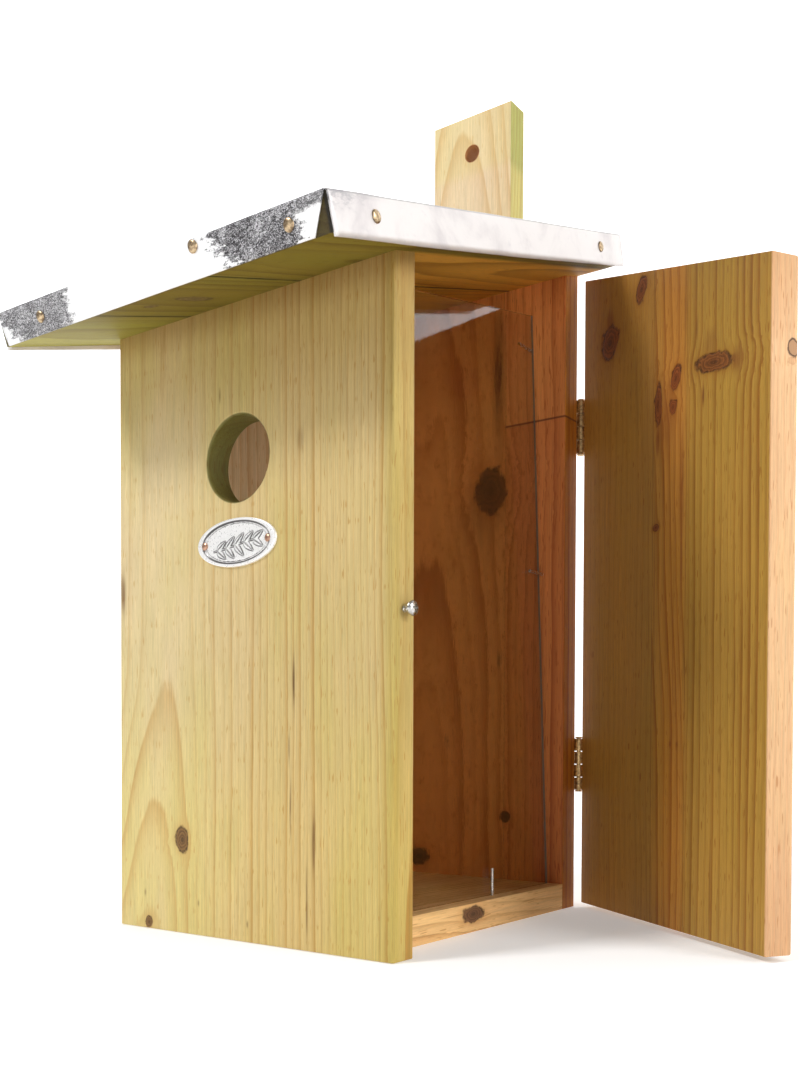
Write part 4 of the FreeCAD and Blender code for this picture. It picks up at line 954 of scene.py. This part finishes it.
def make_name_plate(material, nail_material):
    """Cast oval plate on a polar grid: a point is s * (a cos t, b sin t), raised by plate_height."""
    look = bpy.context.scene.nest_fittings
    low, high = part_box("name_plate")
    centre = ((low[0] + high[0]) / 2, high[1], (low[2] + high[2]) / 2)
    a, b = (high[0] - low[0]) / 2, (high[2] - low[2]) / 2
    steps, rings = 320, 74
    t = np.linspace(0.0, 2 * np.pi, steps, endpoint=False)
    s = np.linspace(0.0, 1.0, rings + 1)[1:]
    gs, gt = np.meshgrid(s, t, indexing="ij")
    x, z = a * gs * np.cos(gt), b * gs * np.sin(gt)
    height = plate_height(x, z, a * 1.0001, b * 1.0001, look.plate_relief)
    height[-1] = 0.00045
    face = np.stack([centre[0] + x, centre[1] - height, centre[2] + z], axis=-1).reshape(-1, 3)
    back = np.stack([centre[0] + x[-1], np.full(steps, centre[1]), centre[2] + z[-1]], axis=-1)
    tips = np.array([[centre[0], centre[1] - 0.0007, centre[2]], [centre[0], centre[1], centre[2]]])
    points = np.concatenate([tips, face, back])
    faces = [list(f) for f in grid_faces(rings + 1, steps, wrap=True, start=2)]
    first, last = np.arange(steps) + 2, np.arange(steps) + 2 + rings * steps
    faces += [[0, q, p] for p, q in zip(first, np.roll(first, -1))]
    faces += [[1, p, q] for p, q in zip(last, np.roll(last, -1))]
    plate = put("oval_plate", points, [f[::-1] for f in faces], material, "plate_metal",
                smooth=math.radians(60), stands_for=("name_plate",))
    patina = np.zeros(len(points))
    patina[2:2 + gs.size] = (steepness(x, z, a, b, look.plate_relief) * (gs < 0.96)).reshape(-1)
    plate.data.attributes.new("patina", "FLOAT", "POINT").data.foreach_set("value", patina)
    lo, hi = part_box("name_plate_nails")
    heads = []
    for x in (lo[0] + 0.0016, hi[0] - 0.0016):
        heads.append(turned(nail_profile(0.0016, 0.0008, 0.0007, 0.0078), 28,
                            (x, lo[1] + 0.0008, centre[2]), (0, -1, 0), (1, 0, 0), 0.03))
    nails = put("plate_nails", *gather(heads), nail_material, "brass", smooth=math.radians(50),
                stands_for=("name_plate_nails",))
    return plate, nails


def make_catch_screw(material):
    """Pan-head screw: rows of (radius, height) carried round, with a thread and a cross recess.

    The thread adds a sawtooth of (angle / full turn + height / pitch) to the shank's radius. On the
    head, points within the two crossed bars are pushed down by the recess depth, soft at the edges."""
    look = bpy.context.scene.nest_fittings
    low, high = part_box("catch_screw")
    y, z = (low[1] + high[1]) / 2, (low[2] + high[2]) / 2
    steps = 96
    t = np.linspace(0.0, 2 * np.pi, steps, endpoint=False)
    shank_x = np.linspace(low[0] + 0.0003, high[0] - 0.0022, 190)
    arc = np.linspace(0.0, np.pi / 2, 20)
    head_r = np.concatenate([[0.0021, 0.0027], 0.0028 * np.cos(arc[:-1])])
    foot = high[0] - 0.0022
    head_x = np.concatenate([[foot] * 2, foot + 0.0004 + 0.0018 * np.sin(arc[:-1]) ** 0.75])
    inner_r = np.linspace(head_r[-1], 0.00006, 18)[1:]
    inner_x = np.full(17, high[0])
    radius = np.concatenate([np.full(190, 0.0015), head_r, inner_r])[:, None] * np.ones(steps)
    place = np.concatenate([shank_x, head_x, inner_x])[:, None] * np.ones(steps)
    phase = (t[None, :] / (2 * np.pi) + place / 0.0013) % 1.0
    thread = np.where(np.arange(len(radius))[:, None] < 188, look.thread * np.abs(2 * phase - 1), 0.0)
    radius = radius - thread
    radius[0] = 0.0003
    p, q = radius * np.cos(t), radius * np.sin(t)
    bar = np.maximum(np.clip((0.00034 - np.abs(p)) / 0.0001, 0, 1) * (np.abs(q) < 0.0015),
                     np.clip((0.00034 - np.abs(q)) / 0.0001, 0, 1) * (np.abs(p) < 0.0015))
    on_head = np.arange(len(radius))[:, None] > 193
    place = place - 0.0009 * bar * on_head
    points = np.stack([place, y + p, z + q], axis=-1).reshape(-1, 3)
    faces = [list(f) for f in grid_faces(len(radius), steps, wrap=True)]
    ends = np.array([[low[0], y, z], [high[0] - 0.0009, y, z]])
    first, last = np.arange(steps), np.arange(steps) + (len(radius) - 1) * steps
    n = len(points)
    faces += [[n, b, a] for a, b in zip(first, np.roll(first, -1))]
    faces += [[n + 1, a, b] for a, b in zip(last, np.roll(last, -1))]
    return put("catch_screw_pan_head", np.concatenate([points, ends]), faces, material, "brass",
               smooth=math.radians(45), stands_for=("catch_screw",))


# ---------------------------------------------------------------- stage

def aim(thing, target):
    """Turns a light to face a point."""
    way = Vector(target) - thing.location
    thing.rotation_euler = way.to_track_quat("-Z", "Y").to_euler()


def soft_light(name, place, target, size, power):
    """A rectangular soft light that faces a point."""
    data = bpy.data.lights.new(name, "AREA")
    data.shape = "RECTANGLE"
    data.size, data.size_y = size
    data.energy = power
    lamp = bpy.data.objects.new(name, data)
    lamp.location = place
    bpy.context.scene.collection.objects.link(lamp)
    aim(lamp, target)
    return lamp


def make_sweep(glow):
    """Floor that curves up into a backdrop: a line, a quarter circle and a line, carried along X."""
    turn = np.linspace(0.0, math.pi / 2, 32)
    radius, back = 1.6, 3.2
    y = np.concatenate([np.linspace(-9.0, back - 0.1, 8), back + radius * np.sin(turn), [back + radius]])
    z = np.concatenate([np.zeros(8), radius - radius * np.cos(turn), [12.0]]) - 0.0003
    x = np.linspace(-16.0, 16.0, 24)
    gx, gy = np.meshgrid(x, y, indexing="ij")
    points = np.stack([gx, gy, np.broadcast_to(z, gx.shape)], axis=-1).reshape(-1, 3)
    mesh = bpy.data.meshes.new("pale_sweep")
    mesh.from_pydata(points.tolist(), [], grid_faces(len(x), len(y))[:, ::-1].tolist())
    mesh.shade_smooth()
    sweep = bpy.data.objects.new("pale_sweep", mesh)
    bpy.context.scene.collection.objects.link(sweep)
    material, w, shader = new_material("pale_paper")
    tooth = w.noise(w.node("ShaderNodeTexCoord").outputs["Object"], 300.0, 2.0)
    w.feed(shader.inputs["Base Color"], w.mix(tooth, (0.84, 0.84, 0.84), (0.88, 0.88, 0.88)))
    shader.inputs["Roughness"].default_value = 0.95
    shader.inputs["Specular IOR Level"].default_value = 0.0
    shader.inputs["Emission Color"].default_value = (1, 1, 1, 1)
    far = w.vec("LENGTH", w.node("ShaderNodeTexCoord").outputs["Object"])
    w.feed(shader.inputs["Emission Strength"], w.ramp(far, 0.25, 2.6, 0.55 * glow, 1.7 * glow))
    mesh.materials.append(material)
    return sweep


def make_camera():
    """Camera in front and to the right, near the height of the box's foot, with a rising shift."""
    yaw, pitch, roll = math.radians(33.86), math.radians(-1.29), math.radians(0.25)
    ahead = Vector((-math.sin(yaw) * math.cos(pitch), math.cos(yaw) * math.cos(pitch), math.sin(pitch)))
    right = Vector((math.cos(yaw), math.sin(yaw), 0.0))
    up = right.cross(ahead)
    right, up = right * math.cos(roll) + up * math.sin(roll), up * math.cos(roll) - right * math.sin(roll)
    data = bpy.data.cameras.new("camera")
    data.sensor_width = 36.0
    data.lens = 35.61
    data.shift_x, data.shift_y = -0.0654, 0.2213
    data.clip_start = 0.01
    shot = bpy.data.objects.new("camera", data)
    turn = Matrix((right, up, -ahead)).transposed().to_4x4()
    shot.matrix_world = Matrix.Translation((0.3071, -0.3772, 0.0771)) @ turn
    bpy.context.scene.collection.objects.link(shot)
    bpy.context.scene.camera = shot
    return shot


# ---------------------------------------------------------------- operators

def dress(node, material):
    """Gives a CAD node one material all over."""
    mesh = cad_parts[node].data
    mesh.materials.clear()
    mesh.materials.append(material)


METALS = {"aged_brass": ((0.70, 0.47, 0.22), (0.22, 0.13, 0.06), 0.28),
          "bright_steel": ((0.66, 0.65, 0.63), (0.33, 0.32, 0.31), 0.16, 0.9, 0.3)}


def shared(name):
    """A metal that several pieces share, made once."""
    return bpy.data.materials.get(name) or metal(name, *METALS[name])


class NESTBOX_OT_boards(bpy.types.Operator):
    """Give every board its own pine"""
    bl_idname = "nestbox.boards"
    bl_label = "Finish the pine boards"

    def execute(self, context):
        for node, material in pine_finishes().items():
            dress(node, material)
        return {"FINISHED"}


class NESTBOX_OT_roof_sheet(bpy.types.Operator):
    """Fold the zinc sheet over the roof planks"""
    bl_idname = "nestbox.roof_sheet"
    bl_label = "Fold the zinc roof sheet"

    def execute(self, context):
        make_zinc_sheet(zinc())
        return {"FINISHED"}


class NESTBOX_OT_roof_nails(bpy.types.Operator):
    """Drive the domed nails through the sheet's folds and finish the hidden nails"""
    bl_idname = "nestbox.roof_nails"
    bl_label = "Drive the nails"

    def execute(self, context):
        make_roof_nails(metal("gilt_nail", (0.62, 0.47, 0.29), (0.22, 0.15, 0.09), 0.24, 0.8, 0.7))
        for node in ("roof_plank_nails", "side_panel_nails", "floor_nails"):
            dress(node, shared("bright_steel"))
        return {"FINISHED"}


class NESTBOX_OT_plate(bpy.types.Operator):
    """Cast the oval plate with its sprig and nail it on"""
    bl_idname = "nestbox.plate"
    bl_label = "Cast the oval plate"

    def execute(self, context):
        make_name_plate(polished_plate(),
                        metal("copper_nail", (0.62, 0.37, 0.26), (0.26, 0.15, 0.10), 0.25))
        return {"FINISHED"}


class NESTBOX_OT_pane(bpy.types.Operator):
    """Finish the clear pane and the pins that hold it"""
    bl_idname = "nestbox.pane"
    bl_label = "Finish the pane"

    def execute(self, context):
        dress("window_pane", clear_acrylic())
        dress("window_pins", shared("bright_steel"))
        return {"FINISHED"}


class NESTBOX_OT_hinges(bpy.types.Operator):
    """Finish the hinge leaves, pins and screws"""
    bl_idname = "nestbox.hinges"
    bl_label = "Finish the hinges"

    def execute(self, context):
        for node in ("hinge_upper_frame_leaf", "hinge_lower_frame_leaf", "hinge_upper_door_leaf",
                     "hinge_lower_door_leaf", "hinge_upper_pin", "hinge_lower_pin"):
            dress(node, shared("aged_brass"))
        for node in ("hinge_frame_screws", "hinge_door_screws", "batten_screws"):
            dress(node, shared("bright_steel"))
        return {"FINISHED"}


class NESTBOX_OT_catch(bpy.types.Operator):
    """Make the catch screw and finish the hook and its screw"""
    bl_idname = "nestbox.catch"
    bl_label = "Make the catch"

    def execute(self, context):
        make_catch_screw(shared("bright_steel"))
        dress("latch_hook", shared("aged_brass"))
        dress("latch_screw", shared("aged_brass"))
        return {"FINISHED"}


class NESTBOX_OT_stage(bpy.types.Operator):
    """Lay the floor and backdrop, hang the lights and set the camera"""
    bl_idname = "nestbox.stage"
    bl_label = "Set the stage"

    def execute(self, context):
        look = context.scene.nest_stage
        make_sweep(look.paper)
        soft_light("front_light", (-1.05, -2.05, 2.3), (0.0, 0.0, 0.16), (0.75, 0.75), look.key)
        soft_light("side_light", (2.3, -0.2, 1.0), (0.0, 0.0, 0.16), (1.0, 1.2), look.side)
        sky = bpy.data.worlds.new("studio")
        sky.use_nodes = True
        sky.node_tree.nodes["Background"].inputs[0].default_value = (1.0, 1.0, 1.0, 1.0)
        sky.node_tree.nodes["Background"].inputs[1].default_value = look.sky
        context.scene.world = sky
        make_camera()
        context.scene.view_settings.view_transform = "Standard"
        return {"FINISHED"}


class NESTBOX_PT_panel(bpy.types.Panel):
    """Lists the nest box's pieces and looks"""
    bl_idname = "NESTBOX_PT_panel"
    bl_label = "Nest Box"
    bl_space_type = "VIEW_3D"
    bl_region_type = "UI"
    bl_category = "Nest Box"

    def draw(self, context):
        for owner in ("nest_pine", "nest_zinc", "nest_fittings", "nest_stage"):
            group = getattr(context.scene, owner)
            box = self.layout.box()
            for name in group.__annotations__:
                box.prop(group, name)
        for operator in OPERATORS:
            self.layout.operator(operator.bl_idname)


LOOKS = {"nest_pine": PineLook, "nest_zinc": ZincLook, "nest_fittings": FittingsLook, "nest_stage": StageLook}
OPERATORS = (NESTBOX_OT_boards, NESTBOX_OT_roof_sheet, NESTBOX_OT_roof_nails, NESTBOX_OT_plate,
             NESTBOX_OT_pane, NESTBOX_OT_hinges, NESTBOX_OT_catch, NESTBOX_OT_stage)


def register():
    for kind in (*LOOKS.values(), *OPERATORS, NESTBOX_PT_panel):
        bpy.utils.register_class(kind)
    for name, kind in LOOKS.items():
        setattr(bpy.types.Scene, name, PointerProperty(type=kind))


def unregister():
    for name in LOOKS:
        delattr(bpy.types.Scene, name)
    for kind in reversed((*LOOKS.values(), *OPERATORS, NESTBOX_PT_panel)):
        bpy.utils.unregister_class(kind)


def main():
    """Registers the add-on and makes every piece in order."""
    register()
    bpy.ops.nestbox.boards()
    bpy.ops.nestbox.roof_sheet()
    bpy.ops.nestbox.roof_nails()
    bpy.ops.nestbox.plate()
    bpy.ops.nestbox.pane()
    bpy.ops.nestbox.hinges()
    bpy.ops.nestbox.catch()
    bpy.ops.nestbox.stage()


if __name__ == "__main__":
    main()
